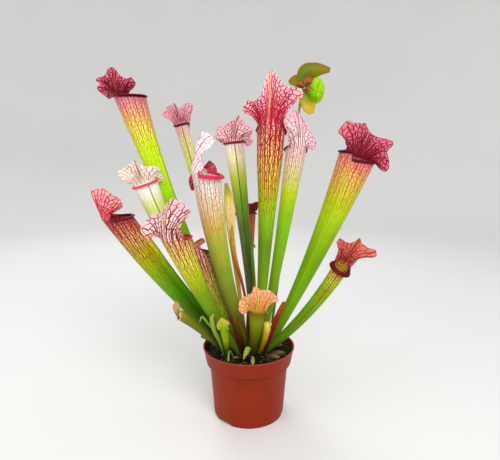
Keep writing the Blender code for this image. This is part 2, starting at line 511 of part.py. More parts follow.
STEMS = [
    Stem("leaf_closed",
         [((-0.003, 0.014, SOIL_TOP), 0.0040, 0.0040), ((-0.012, 0.002, 0.160), 0.0055, 0.0050),
          ((-0.021, -0.008, 0.232), 0.0080, 0.0070), ((-0.0235, -0.011, 0.268), 0.0135, 0.0090),
          ((-0.0245, -0.012, 0.285), 0.0110, 0.0070), ((-0.0275, -0.012, 0.302), 0.0040, 0.0025)],
         "yellow_leaf", rows=10),
    Stem("leaf_amber",
         [((0.0065, -0.002, SOIL_TOP), 0.0026, 0.0020), ((-0.0055, -0.008, 0.163), 0.0034, 0.0024),
          ((-0.0155, -0.012, 0.204), 0.0050, 0.0024), ((-0.0197, -0.016, 0.232), 0.0048, 0.0020),
          ((-0.0202, -0.017, 0.251), 0.0016, 0.0010)], "yellow_leaf"),
    Stem("leaf_hooked_back",
         [((0.011, 0.018, SOIL_TOP), 0.0026, 0.0022), ((0.008, 0.022, 0.165), 0.0034, 0.0026),
          ((0.0045, 0.029, 0.212), 0.0040, 0.0026), ((0.0050, 0.027, 0.221), 0.0036, 0.0022),
          ((0.0085, 0.023, 0.217), 0.0020, 0.0014)], "young_leaf"),
    Stem("leaf_hooked_left",
         [((-0.029, -0.015, SOIL_TOP), 0.0028, 0.0024), ((-0.034, -0.031, 0.111), 0.0034, 0.0024),
          ((-0.049, -0.044, 0.137), 0.0030, 0.0020), ((-0.055, -0.048, 0.146), 0.0026, 0.0018),
          ((-0.058, -0.049, 0.140), 0.0014, 0.0010)], "young_leaf"),
    Stem("leaf_bud_left",
         [((-0.031, -0.023, SOIL_TOP), 0.0022, 0.0020), ((-0.0350, -0.037, 0.108), 0.0030, 0.0024),
          ((-0.041, -0.044, 0.127), 0.0052, 0.0036), ((-0.0438, -0.048, 0.143), 0.0050, 0.0034),
          ((-0.0415, -0.048, 0.149), 0.0024, 0.0018)], "young_leaf"),
    Stem("leaf_withered_right",
         [((0.0199, -0.0140, SOIL_TOP), 0.0030, 0.0012), ((0.0242, -0.0175, 0.100), 0.0055, 0.0013),
          ((0.033, -0.020, 0.128), 0.0068, 0.0013), ((0.0425, -0.022, 0.152), 0.0050, 0.0012),
          ((0.0445, -0.022, 0.156), 0.0022, 0.0010)], "withered_leaf"),
    Stem("leaf_withered_left",
         [((-0.006, -0.020, SOIL_TOP), 0.0032, 0.0022), ((-0.013, -0.024, 0.105), 0.0038, 0.0022),
          ((-0.023, -0.030, 0.138), 0.0024, 0.0016), ((-0.028, -0.033, 0.152), 0.0012, 0.0010)],
         "withered_leaf"),
    Stem("leaf_cut",
         [((-0.030, 0.002, SOIL_TOP), 0.0060, 0.0034), ((-0.037, 0.001, 0.0945), 0.0110, 0.0034),
          ((-0.050, 0.000, 0.1015), 0.0135, 0.0032), ((-0.0605, -0.001, 0.1065), 0.0120, 0.0024)],
         "young_leaf", flat_to=(-0.3, -1, 0.6), rows=6),
    Stem("leaf_olive",
         [((-0.003, -0.011, SOIL_TOP), 0.0026, 0.0022), ((-0.005, -0.017, 0.106), 0.0056, 0.0030),
          ((-0.011, -0.021, 0.126), 0.0036, 0.0022), ((-0.015, -0.022, 0.136), 0.0014, 0.0012)],
         "young_leaf"),
    Stem("leaf_curled_front",
         [((-0.001, -0.019, SOIL_TOP), 0.0034, 0.0030), ((-0.002, -0.027, 0.094), 0.0060, 0.0046),
          ((-0.001, -0.036, 0.100), 0.0078, 0.0052), ((-0.004, -0.042, 0.0965), 0.0050, 0.0030),
          ((-0.0060, -0.044, 0.0915), 0.0022, 0.0016)], "young_leaf"),
    Stem("leaf_lying_front",
         [((0.004, -0.028, SOIL_TOP), 0.0022, 0.0020), ((0.0045, -0.038, 0.0905), 0.0042, 0.0026),
          ((0.0050, -0.048, 0.0900), 0.0050, 0.0026), ((0.0050, -0.053, 0.0885), 0.0020, 0.0016)],
         "young_leaf"),
    Stem("leaf_drooping",
         [((-0.0185, -0.028, SOIL_TOP), 0.0020, 0.0020), ((-0.0220, -0.037, 0.0975), 0.0022, 0.0020),
          ((-0.0240, -0.044, 0.0985), 0.0024, 0.0018), ((-0.0240, -0.0535, 0.0940), 0.0026, 0.0016)],
         "young_leaf"),
]


def pot():
    """The moulded pot: tapered body, wide rim band over a shoulder, floor holes and corner notches."""
    band_foot = POT_HEIGHT - POT_BAND_HEIGHT
    body_top = band_foot - POT_SHOULDER_HEIGHT
    w = POT_WALL
    outer = [(0, 0), (POT_BASE_RADIUS - 0.0012, 0), (POT_BASE_RADIUS, 0.0012),
             (POT_BODY_TOP_RADIUS, body_top), (POT_BAND_FOOT_RADIUS, band_foot),
             (POT_RIM_RADIUS - 0.0008, POT_HEIGHT - 0.0012), (POT_RIM_RADIUS, POT_HEIGHT - 0.0008),
             (POT_RIM_RADIUS, POT_HEIGHT)]
    inner = [(POT_RIM_RADIUS - w - 0.0004, POT_HEIGHT), (POT_BAND_FOOT_RADIUS - w, band_foot + w * 0.6),
             (POT_BODY_TOP_RADIUS - w, body_top + w * 0.6), (POT_BASE_RADIUS - w, POT_FLOOR), (0, POT_FLOOR)]
    made = turned("pot", outer + inner, POT_SIDES, "pot_plastic")
    for number in range(FLOOR_HOLES):
        angle = 2 * math.pi * (number + 0.53) / FLOOR_HOLES
        at = FLOOR_HOLE_CIRCLE * np.array([math.cos(angle), math.sin(angle), 0])
        turn = np.arange(12) / 12 * 2 * math.pi
        ring = at + FLOOR_HOLE_RADIUS * np.stack([np.cos(turn), np.sin(turn), 0 * turn], axis=1)
        drill = loft(f"cutter_floor_hole_{number}", np.stack([ring - UP * 0.003, ring + UP * 0.004]), "soil")
        boolean(made, drill)
    for number, azimuth in enumerate(NOTCH_AZIMUTHS):
        a = math.radians(azimuth)
        out, side = np.array([math.cos(a), math.sin(a), 0]), np.array([-math.sin(a), math.cos(a), 0])
        ring = np.array([out * r + side * s * NOTCH_WIDTH / 2 for r, s in
                         ((0.038, -1), (0.052, -1), (0.052, 1), (0.038, 1))])
        box = np.stack([ring - UP * 0.003, ring + UP * NOTCH_HEIGHT])
        boolean(made, loft(f"cutter_notch_{number}", box, "soil"))
    return made


def lump(x, y):
    """A smooth uneven height, from -1 to 1, over the plane."""
    return (np.sin(95 * x + 1.3) * np.cos(120 * y - 0.4) + 0.6 * np.sin(230 * x - 190 * y + 2.0)) / 1.6


def soil(holes):
    """The peat that fills the pot up to a low uneven mound, with a hole for each leaf."""
    band_foot = POT_HEIGHT - POT_BAND_HEIGHT
    body_top = band_foot - POT_SHOULDER_HEIGHT
    w, g = POT_WALL, GAP + 0.0001
    slope = (POT_RIM_RADIUS - 0.0004 - POT_BAND_FOOT_RADIUS) / POT_BAND_HEIGHT
    edge = POT_BAND_FOOT_RADIUS - w - g + slope * (SOIL_TOP - band_foot - w * 0.6)
    profile = [(0, POT_FLOOR + g), (POT_BASE_RADIUS - w - g, POT_FLOOR + g),
               (POT_BODY_TOP_RADIUS - w - g, body_top + w * 0.6 + g),
               (POT_BAND_FOOT_RADIUS - w - g, band_foot + w * 0.6 + g), (edge, SOIL_TOP),
               (0.050, SOIL_TOP), (0.040, SOIL_TOP), (0, SOIL_TOP)]
    made = turned("soil", profile, 32, "soil")
    for vertex in made.data.vertices:
        x, y, z = vertex.co
        if z > SOIL_TOP - 1e-6 and math.hypot(x, y) < edge - 0.001:
            vertex.co.z += SOIL_MOUND * lump(x, y)
    for hole in holes:
        boolean(made, hole)
    return made


FLOWER_HEART = np.array([0.0775, 0.070, 0.432])


def flower_head():
    """The nodding bloom: umbrella-shaped style cup, five sepals and three small bracts."""
    heart = FLOWER_HEART
    rings = []
    for tilt in range(12, 169, 26):
        t = math.radians(tilt)
        turn = np.arange(12) / 12 * 2 * math.pi
        out = 0.0150 * math.sin(t) * (1 + 0.06 * np.cos(5 * turn))
        rings.append(np.stack([0 * turn + 0.0145 - 0.0125 * math.cos(t), out * np.cos(turn),
                               -0.004 + 1.15 * out * np.sin(turn)], axis=1) + heart)
    cup = loft("flower", np.array(rings), "flower")
    ball = []
    for tilt in (15, 50, 90, 130, 165):
        t, turn = math.radians(tilt), np.arange(10) / 10 * 2 * math.pi
        out = 0.0048 * math.sin(t)
        across_ring = [0 * turn + 0.002 - 0.0060 * math.cos(t), out * np.cos(turn), out * np.sin(turn)]
        ball.append(np.stack(across_ring, axis=1) + heart)
    boolean(cup, loft("guide_receptacle", np.array(ball), "flower"), "UNION")
    sepals = [
        ("top", (0, 0, 0.002), (-0.006, 0, 0.030), (0.034, 0, 0.023), 0.0125, (0.3, -1, 0.2), -0.3),
        ("left", (0, 0, 0.001), (-0.010, 0, 0.012), (-0.022, 0.001, 0.006), 0.0090, (0, -1, 0.2), 0.2),
        ("low", (0.002, -0.001, -0.002), (0.002, -0.004, -0.022), (0.009, -0.004, -0.036), 0.0105, (0, -1, 0), 0.2),
        ("far", (0.001, 0.001, -0.001), (0.004, 0.012, -0.012), (0.012, 0.020, -0.022), 0.0105, (1, -1, 0), 0.2),
        ("back", (0.001, 0.001, 0.001), (0, 0.014, 0.016), (0.016, 0.024, 0.012), 0.0105, (1, -1, 0), -0.2),
    ]
    for name, base, knee, tip, half_width, flat_to, cupped in sepals:
        points = [heart + np.array(p) for p in (base, knee, tip)]
        made = blade(f"guide_sepal_{name}", *points, half_width, flat_to, cupped, "flower")
        boolean(cup, made, "UNION")
    bracts = [
        ("top", (0.001, -0.002, 0.001), (0.000, -0.009, 0.010), (0.011, -0.011, 0.006), 0.0055),
        ("left", (0.000, -0.002, 0.001), (-0.006, -0.008, 0.004), (-0.011, -0.009, 0.003), 0.0042),
        ("low", (0.001, -0.002, 0.000), (0.004, -0.009, -0.001), (0.006, -0.011, -0.008), 0.0042),
    ]
    for name, base, knee, tip, half_width in bracts:
        points = [heart + np.array(p) for p in (base, knee, tip)]
        made = blade(f"guide_bract_{name}", *points, half_width, (0, -1, 0.2), 0.2, "flower", 3, 1)
        boolean(cup, made, "UNION")
    return cup


def build():
    clear_scene()
    leaves = PITCHERS + STEMS
    for leaf in leaves:
        leaf.build()
    holes = [leaf.hole() for leaf in leaves]
    scape = Stem("flower_stalk",
                 [((0.030, 0.034, SOIL_TOP), 0.0040, 0.0040), ((0.046, 0.050, 0.200), 0.0036, 0.0036),
                  ((0.064, 0.068, 0.330), 0.0034, 0.0034), ((0.0705, 0.072, 0.405), 0.0034, 0.0034),
                  ((0.0752, 0.0705, 0.4262), 0.0030, 0.0030)], "young_leaf", rows=9)
    scape.build()
    holes.append(scape.hole())
    flower_head()
    pot()
    soil(holes)


build()
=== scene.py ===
"""The looks of a potted trumpet pitcher plant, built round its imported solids.

Units are metres where nothing else is said, +Z is up, the origin is the middle of the pot's underside,
and the viewer's side is -Y. Each piece takes the place of one solid and keeps its form.
"""

import math

import bpy
import numpy as np
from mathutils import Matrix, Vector, noise


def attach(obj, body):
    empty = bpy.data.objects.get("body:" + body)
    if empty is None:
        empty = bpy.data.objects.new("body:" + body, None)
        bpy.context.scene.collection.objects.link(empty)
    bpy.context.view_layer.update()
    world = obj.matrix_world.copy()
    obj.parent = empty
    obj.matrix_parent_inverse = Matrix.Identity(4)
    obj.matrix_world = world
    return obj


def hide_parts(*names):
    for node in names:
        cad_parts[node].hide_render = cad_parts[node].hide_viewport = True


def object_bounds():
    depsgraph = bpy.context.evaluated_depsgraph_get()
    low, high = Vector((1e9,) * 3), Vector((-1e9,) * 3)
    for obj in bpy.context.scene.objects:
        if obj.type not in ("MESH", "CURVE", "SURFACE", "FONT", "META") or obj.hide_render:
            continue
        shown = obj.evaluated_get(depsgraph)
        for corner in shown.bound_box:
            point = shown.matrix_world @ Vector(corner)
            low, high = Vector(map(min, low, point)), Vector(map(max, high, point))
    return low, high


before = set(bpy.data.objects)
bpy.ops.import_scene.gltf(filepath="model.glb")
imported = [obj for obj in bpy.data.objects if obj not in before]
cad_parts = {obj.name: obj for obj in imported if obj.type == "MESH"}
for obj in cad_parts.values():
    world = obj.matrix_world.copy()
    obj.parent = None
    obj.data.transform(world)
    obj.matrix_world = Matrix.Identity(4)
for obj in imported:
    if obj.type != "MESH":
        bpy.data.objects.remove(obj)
solid_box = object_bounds()
bpy.ops.object.select_all(action="DESELECT")


# The pot is one thin injection moulding in terracotta-coloured polypropylene: a tapered cup, a wide band
# over a shoulder, a fine lip, drain holes in its floor and three notches under its edge.
class Shade:
    """A socket of a material. Arithmetic on it adds Math nodes; node() adds any other node."""

    def __init__(self, tree, socket=None):
        self.tree, self.socket = tree, socket

    def node(self, kind, settings, values, output=0):
        made = self.tree.nodes.new("ShaderNode" + kind)
        for name, setting in settings.items():
            if name == "stops":
                stops = made.color_ramp.elements
                stops[1].position, stops[1].color = setting[-1]
                stops[0].position, stops[0].color = setting[0]
                for place, colour in setting[1:-1]:
                    stops.new(place).color = colour
            else:
                setattr(made, name, setting)
        for name, value in values.items():
            if isinstance(value, Shade):
                self.tree.links.new(value.socket, made.inputs[name])
            else:
                made.inputs[name].default_value = value
        return Shade(self.tree, made.outputs[output])

    def other(self, output):
        return Shade(self.tree, self.socket.node.outputs[output])

    def maths(self, operation, *values):
        return self.node("Math", {"operation": operation}, dict(enumerate(values)))

    def __add__(self, other):
        return self.maths("ADD", self, other)

    def __sub__(self, other):
        return self.maths("SUBTRACT", self, other)

    def __rsub__(self, other):
        return self.maths("SUBTRACT", other, self)

    def __mul__(self, other):
        return self.maths("MULTIPLY", self, other)

    def __truediv__(self, other):
        return self.maths("DIVIDE", self, other)

    def __pow__(self, other):
        return self.maths("POWER", self, other)

    __radd__, __rmul__ = __add__, __mul__

    def step(self, low, high):
        """0 below low and 1 above high, eased between."""
        return self.node("MapRange", {"interpolation_type": "SMOOTHSTEP"}, {0: self, 1: low, 2: high})

    def tint(self, colour, other):
        """colour where this mask is 0, the other where it is 1."""
        return self.node("Mix", {"data_type": "RGBA"}, {0: self, 6: colour, 7: other}, 2)

    def vector(self, operation, *values):
        return self.node("VectorMath", {"operation": operation}, dict(enumerate(values)))


def paint(*seen):
    """A colour from red, green and blue as seen, 0 to 255, in the light values that shaders use."""
    return (*(c / 255 / 12.92 if c < 10.3 else ((c / 255 + 0.055) / 1.055) ** 2.4 for c in seen), 1.0)


def new_finish(name, **fixed):
    """A Principled material with its fixed sockets set: its shader, and the place in the object."""
    made = bpy.data.materials.new(name)
    made.use_nodes = True
    shader = made.node_tree.nodes["Principled BSDF"]
    for socket, value in fixed.items():
        shader.inputs[socket.replace("_", " ")].default_value = value
    return made, shader, Shade(made.node_tree).node("TexCoord", {}, {}, "Object")


def feed(shader, **fed):
    for socket, shade in fed.items():
        shade.tree.links.new(shade.socket, shader.inputs[socket.replace("_", " ")])


def raise_relief(shader, strength, depth, height):
    """Relief of a depth in metres where height, from 0 to 1, is high."""
    values = {"Strength": strength, "Distance": depth, "Height": height}
    feed(shader, Normal=height.node("Bump", {}, values))


def clouds(at, scale, detail=2.0, **more):
    return at.node("TexNoise", {}, {"Vector": at, "Scale": scale, "Detail": detail, **more})


def speckles(at, scale):
    return at.node("TexVoronoi", {}, {"Vector": at, "Scale": scale})


def turn_levels(levels, closed=True):
    """Extrudes the selected flat disc through levels of radius and height, scaling it to each."""
    bpy.ops.object.mode_set(mode="EDIT")
    for (radius, height), (next_radius, next_height) in zip(levels, levels[1:]):
        move = {"value": (0, 0, next_height - height)}
        bpy.ops.mesh.extrude_region_move(TRANSFORM_OT_translate=move)
        ratio = next_radius / radius
        bpy.ops.transform.resize(value=(ratio, ratio, 1))
    if not closed:
        bpy.ops.mesh.delete(type="ONLY_FACE")
    bpy.ops.mesh.select_all(action="SELECT")
    bpy.ops.mesh.normals_make_consistent(inside=not closed)
    bpy.ops.object.mode_set(mode="OBJECT")
    return bpy.context.object


def cut_away(piece, cutter):
    """Takes the cutter out of the piece and removes it."""
    cut = piece.modifiers.new("cut", "BOOLEAN")
    cut.operation, cut.solver, cut.object = "DIFFERENCE", "EXACT", cutter
    bpy.context.view_layer.objects.active = piece
    bpy.ops.object.modifier_apply(modifier=cut.name)
    bpy.data.objects.remove(cutter)


def set_in_place(piece, name, slot, *nodes):
    piece.name = piece.data.name = name
    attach(piece, "root")
    if nodes:
        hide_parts(*nodes)


POT_HEIGHT, BAND_FOOT, BODY_TOP, FOOT_RADIUS = 0.0910, 0.0715, 0.0691, 0.0448
DRAINS, DRAIN_RADIUS, DRAIN_CIRCLE, NOTCH_CIRCLE = 6, 0.0042, 0.0270, 0.045
bpy.ops.mesh.primitive_circle_add(vertices=132, radius=FOOT_RADIUS, fill_type="NGON")
pot = turn_levels([
    (FOOT_RADIUS, 0.0000), (0.0457, 0.0003), (0.0460, 0.0012), (0.04650, 0.0068), (0.04665, 0.0072),
    (0.04660, 0.0077), (0.0482, 0.0300), (0.0499, 0.0500), (0.0514, BODY_TOP - 0.0008),
    (0.0517, BODY_TOP - 0.0002), (0.0552, BODY_TOP + 0.0009), (0.0557, BODY_TOP + 0.0015),
    (0.0559, BAND_FOOT + 0.0008), (0.0577, 0.0810), (0.0591, POT_HEIGHT - 0.0020),
    (0.05945, POT_HEIGHT - 0.0014), (0.0600, POT_HEIGHT - 0.0010), (0.0600, POT_HEIGHT - 0.0003),
    (0.0597, POT_HEIGHT), (0.0585, POT_HEIGHT), (0.0582, POT_HEIGHT - 0.0003), (0.0571, 0.0830),
    (0.0542, BAND_FOOT + 0.0008), (0.0501, BODY_TOP + 0.0008), (0.0446, 0.0022), (0.0440, 0.0016)])
for number in range(DRAINS):
    turn = 2 * math.pi * (number + 0.53) / DRAINS
    place = (DRAIN_CIRCLE * math.cos(turn), DRAIN_CIRCLE * math.sin(turn), 0)
    bpy.ops.mesh.primitive_cylinder_add(vertices=32, radius=DRAIN_RADIUS, depth=0.01, location=place)
    cut_away(pot, bpy.context.object)
for azimuth in (-131, -11, 109):
    turn = math.radians(azimuth)
    place = (NOTCH_CIRCLE * math.cos(turn), NOTCH_CIRCLE * math.sin(turn), 0)
    bpy.ops.mesh.primitive_cube_add(size=1, location=place, rotation=(0, 0, turn))
    bpy.ops.transform.resize(value=(0.014, 0.019, 0.006), orient_type="LOCAL")
    cut_away(pot, bpy.context.object)
bpy.ops.object.select_all(action="DESELECT")
pot.select_set(True)
bpy.ops.object.shade_smooth_by_angle(angle=math.radians(32))

plastic, shader, at = new_finish("terracotta_plastic", Specular_IOR_Level=0.14)
cloudy, grainy = clouds(at, 38.0, 4.0), clouds(at, 1500.0)
scuffs = clouds(at.vector("MULTIPLY", at, (900.0, 900.0, 60.0)), 1.0, 3.0).step(0.66, 0.78)
scuffs = scuffs * cloudy.step(0.5, 0.75)
specks = (1 - speckles(at, 260.0).step(0.05, 0.16)) * clouds(at, 70.0).step(0.60, 0.68)
height = at.node("SeparateXYZ", {}, {0: at}).other("Z")
above_body, above_crease = (height.step(z - 0.0006, z + 0.0002) for z in (BODY_TOP, BAND_FOOT))
body = cloudy.step(0.3, 0.7).tint(paint(131, 36, 9), paint(137, 39, 10))
# painted shade: the shoulder under the wide band is darkened to stand for the shadow in the undercut beneath
# it
body = (above_body * (1 - above_crease) * 0.5).tint(body, paint(84, 20, 6))
# painted highlight: the top of the rim and lip is tinted lighter as if light catches it
body = (height.step(POT_HEIGHT - 0.0018, POT_HEIGHT - 0.0010) * 0.3).tint(body, paint(196, 84, 52))
body = (scuffs * 0.3).tint(body, paint(200, 110, 86))
body = (specks * 0.5).tint(body, paint(210, 150, 122))
feed(shader, Base_Color=body, Roughness=0.42 + grainy * 0.10 + scuffs * 0.2)
raise_relief(shader, 0.06, 0.0004, grainy + cloudy)
pot.data.materials.append(plastic)
set_in_place(pot, "pot_moulding", "pot_plastic", "pot")


# Damp dark peat fills the pot to just under its lip. Its top is crumbly, with green moss growing in
# patches, and with pale straws and bits of fibre lying on it.
SOIL_TOP, SOIL_RADIUS, SOIL_RINGS = 0.0840, 0.0560, 46


def soil_height(x, y):
    """The height of the peat's top over the pot's underside."""
    mound = math.sin(95 * x + 1.3) * math.cos(120 * y - 0.4) + 0.6 * math.sin(230 * x - 190 * y + 2)
    crumbs = noise.fractal(Vector((x * 260, y * 260, 0.3)), 0.7, 2.1, 4)
    return SOIL_TOP + 0.0012 * mound / 1.6 + 0.0009 * crumbs


bpy.ops.mesh.primitive_circle_add(vertices=180, radius=0.0442, fill_type="NGON", location=(0, 0, 0.0020))
soil = turn_levels(
    [(0.0442, 0.0020), (0.0497, 0.0700), (0.0537, 0.0724)]
    + [(SOIL_RADIUS * (1 - n / SOIL_RINGS), SOIL_TOP) for n in range(SOIL_RINGS)])
for point in soil.data.vertices:
    if point.co.z > SOIL_TOP - 1e-5 and math.hypot(*point.co.xy) < SOIL_RADIUS - 0.0004:
        point.co.z = soil_height(*point.co.xy)
bpy.ops.object.shade_smooth()

peat, shader, at = new_finish("damp_peat", Roughness=0.9, Specular_IOR_Level=0.15)
fine = clouds(at, 900.0, 6.0, Roughness=0.7)
lumps = speckles(at, 620.0)
mossy = clouds(at, 75.0, 5.0, Roughness=0.65).step(0.53, 0.66)
colour = fine.step(0.35, 0.7).tint(paint(6, 6, 4), paint(27, 23, 14))
colour = (mossy * 0.6).tint(colour, paint(30, 42, 12))
flecks = (1 - lumps.step(0.12, 0.3)) * clouds(at, 300.0).step(0.62, 0.7)
feed(shader, Base_Color=(flecks * 0.8).tint(colour, paint(142, 116, 80)))
raise_relief(shader, 0.9, 0.0008, fine + lumps * 0.6)
soil.data.materials.append(peat)
set_in_place(soil, "peat_filling", "soil", "soil")


# Crumbs of peat, tufts of moss and short pale straws lie loose on the filling. Nothing fixes them: each is
# only pressed a little into the peat.
LITTER_RADIUS = 0.0545


def scatter(name, count, seed, size, flatness, length, finish, keep):
    """One mesh of many small lumps on the peat, each turned, stretched and shaped by chance."""
    chance = np.random.default_rng(seed)
    bpy.ops.mesh.primitive_ico_sphere_add(subdivisions=1, radius=1.0)
    lump = bpy.context.object
    corners = np.array([v.co for v in lump.data.vertices])
    faces = [tuple(p.vertices) for p in lump.data.polygons]
    points, joined = [], []
    while len(points) < count:
        x, y = chance.uniform(-0.055, 0.055, 2)
        big = chance.uniform(*size)
        if math.hypot(x, y) > LITTER_RADIUS - big or not keep(x, y):
            continue
        turn, tilt = chance.uniform(0, 2 * math.pi), chance.uniform(-0.35, 0.35)
        shaped = corners * (1 + chance.uniform(-0.25, 0.25, (len(corners), 1)))
        shaped = shaped * (big * chance.uniform(*length), big, big * flatness)
        shaped = shaped + np.outer(shaped[:, 0] ** 2 / big * chance.uniform(-0.1, 0.1), (0, 1, 0.3))
        lean = ((math.cos(tilt), 0, math.sin(tilt)), (0, 1, 0), (-math.sin(tilt), 0, math.cos(tilt)))
        spin = ((math.cos(turn), math.sin(turn), 0), (-math.sin(turn), math.cos(turn), 0), (0, 0, 1))
        first = len(points) * len(corners)
        joined += [tuple(first + c for c in face) for face in faces]
        height = soil_height(x, y) + big * flatness * 0.35
        points.append(shaped @ np.array(lean) @ np.array(spin) + (x, y, height))
    mesh = bpy.data.meshes.new(name)
    mesh.from_pydata(np.concatenate(points).tolist(), [], joined)
    mesh.shade_smooth()
    mesh.materials.append(finish)
    bpy.data.objects.remove(lump)
    made = bpy.data.objects.new(name, mesh)
    bpy.context.scene.collection.objects.link(made)
    set_in_place(made, name, "soil")


def litter_finish(name, scale, detail, low, dark, pale, relief=None, **fixed):
    """Dark to pale in small patches, with relief of the given strength and depth."""
    made, shader, at = new_finish(name, **fixed)
    tone = clouds(at, scale, detail)
    feed(shader, Base_Color=tone.step(low, 0.7).tint(paint(*dark), paint(*pale)))
    if relief:
        raise_relief(shader, *relief, tone)
    return made


def anywhere(x, y):
    return True


def in_moss(x, y):
    return noise.noise(Vector((x * 55, y * 55, 4.0))) > 0.12


crumb = litter_finish("peat_crumb", 420.0, 3.0, 0.35, (7, 7, 5), (36, 28, 18), (0.7, 0.0004),
                      Roughness=0.9, Specular_IOR_Level=0.15)
scatter("peat_crumbs", 620, 3, (0.0004, 0.0013), 0.7, (0.8, 1.6), crumb, anywhere)
moss = litter_finish("moss", 600.0, 4.0, 0.3, (22, 38, 6), (74, 98, 20), (0.8, 0.0005),
                     Roughness=0.8, Specular_IOR_Level=0.2)
scatter("moss_tufts", 420, 7, (0.0005, 0.0012), 0.8, (0.7, 1.3), moss, in_moss)
straw = litter_finish("straw", 180.0, 3.0, 0.3, (96, 68, 40), (178, 148, 102), Roughness=0.7)
scatter("straws", 90, 11, (0.0003, 0.0006), 0.7, (3.0, 8.0), straw, anywhere)


# The tallest leaf on the left leans out over the rest. Like every pitcher it is one thin leaf grown into a
# tapered tube, with a seam rib down its front, a rolled lip round its mouth and a hood on its back wall.
# Its hood is crimson with pink windows, and its tube fades from orange through lime to green.
WALL, FOOT_DEPTH = 0.0008, 0.0070
BELLY_PLACE, BELLY_REACH, KEEL_TURN = 0.86, 0.1, math.radians(13)
HOOD_EDGE_TURN, HOOD_BLEND, HOOD_SPREAD = math.radians(142), math.radians(24), 0.025
HEART_HEIGHT, LIP_PLACE = 0.45, 0.985
VEINS_ROUND, RAYS = 24, 0.7
CELL_PLACES, CELL_HEIGHTS = (0, 0.5, 0.75, 0.9, 1.0, 1.3, 2), (34, 26, 14, 7.5, 5.6, 5.4, 5.2)
HAIRLINE, GLOW_REACH = 0.06, 1.5


def eased(x):
    x = np.clip(x, 0.0, 1.0)
    return x * x * (3 - 2 * x)


def bell(x):
    return np.exp(-(x ** 2))


def unit(vectors):
    return vectors / np.linalg.norm(vectors, axis=-1, keepdims=True)


def across(vectors, axes):
    """The part of each vector that is square to its axis, at length 1."""
    return unit(vectors - (vectors * axes).sum(-1, keepdims=True) * axes)


def smooth_through(stations, at):
    """Values on a smooth curve through the stations, at places counted in stations."""
    ends = np.vstack([2 * stations[0] - stations[1], stations, 2 * stations[-1] - stations[-2]])
    k = np.clip(np.floor(at).astype(int), 0, len(stations) - 2)
    t = (at - k)[:, None]
    a, b, c, d = ends[k], ends[k + 1], ends[k + 2], ends[k + 3]
    return 0.5 * (2 * b + (c - a) * t + (2 * a - 5 * b + 4 * c - d) * t**2 + (3 * b - 3 * c + d - a) * t**3)


def write_values(mesh, values, shape):
    """Attributes of the points, each broadcast to the rows and columns of the sheet."""
    for key, value in values.items():
        spread = np.broadcast_to(value, shape).astype(np.float32)
        mesh.attributes.new(key, "FLOAT", "POINT").data.foreach_set("value", spread.reshape(-1))


def thicken(piece, wall):
    thick = piece.modifiers.new("wall", "SOLIDIFY")
    thick.thickness, thick.offset = wall, 0.0
    bpy.ops.object.modifier_apply(modifier=thick.name)


def skin(sheet, angle, along, cell_height, finish, hood=0.0, lip=0.0, wall=None):
    """A thin closed leaf from a sheet of rows and columns, the first and last of which are one.

    It carries how far along the leaf each point is, how far it is hood or lip, and the size there of
    a vein's cell in millimetres, for the net of veins that its material draws.
    """
    rows, columns = sheet.shape[:2]
    sheet = np.clip(sheet, np.array(solid_box[0]) + WALL / 2, np.array(solid_box[1]) - WALL / 2)
    bpy.ops.mesh.primitive_grid_add(x_subdivisions=columns - 1, y_subdivisions=rows - 1, size=1)
    leaf = bpy.context.object
    mesh = leaf.data
    mesh.vertices.foreach_set("co", sheet.reshape(-1))
    step = np.linalg.norm(np.diff(sheet, axis=0), axis=2) * 1000
    cells_up = step.mean(axis=1) / np.broadcast_to(cell_height, rows)[1:]
    height = np.concatenate([[0], np.cumsum(cells_up)])[:, None]
    around = angle / (2 * math.pi) * VEINS_ROUND
    cell_up = np.vstack([step[:1], step]) / np.concatenate([cells_up[:1], cells_up])[:, None]
    wide = np.linalg.norm(np.gradient(sheet, axis=1), axis=2) * 1000
    cell_across = np.maximum(wide / np.gradient(around), 0.05)
    write_values(mesh, {"along": along[:, None], "hood": hood, "lip": lip, "cell_up": cell_up,
                        "cell_across": cell_across}, (rows, columns))
    corner_point = np.zeros(len(mesh.loops), np.int32)
    mesh.loops.foreach_get("vertex_index", corner_point)
    place = np.stack(np.broadcast_arrays(around, height), axis=2).reshape(-1, 2)
    mesh.uv_layers[0].name = "veins"
    mesh.uv_layers[0].data.foreach_set("uv", place[corner_point].astype(np.float32).reshape(-1))
    bpy.ops.object.mode_set(mode="EDIT")
    bpy.ops.mesh.select_all(action="SELECT")
    bpy.ops.mesh.remove_doubles(threshold=1e-7)
    bpy.ops.mesh.normals_make_consistent(inside=False)
    bpy.ops.object.mode_set(mode="OBJECT")
    if wall:
        thicken(leaf, wall)
    bpy.ops.object.shade_smooth()
    leaf.data.materials.append(finish)
    leaf.select_set(False)
    return leaf


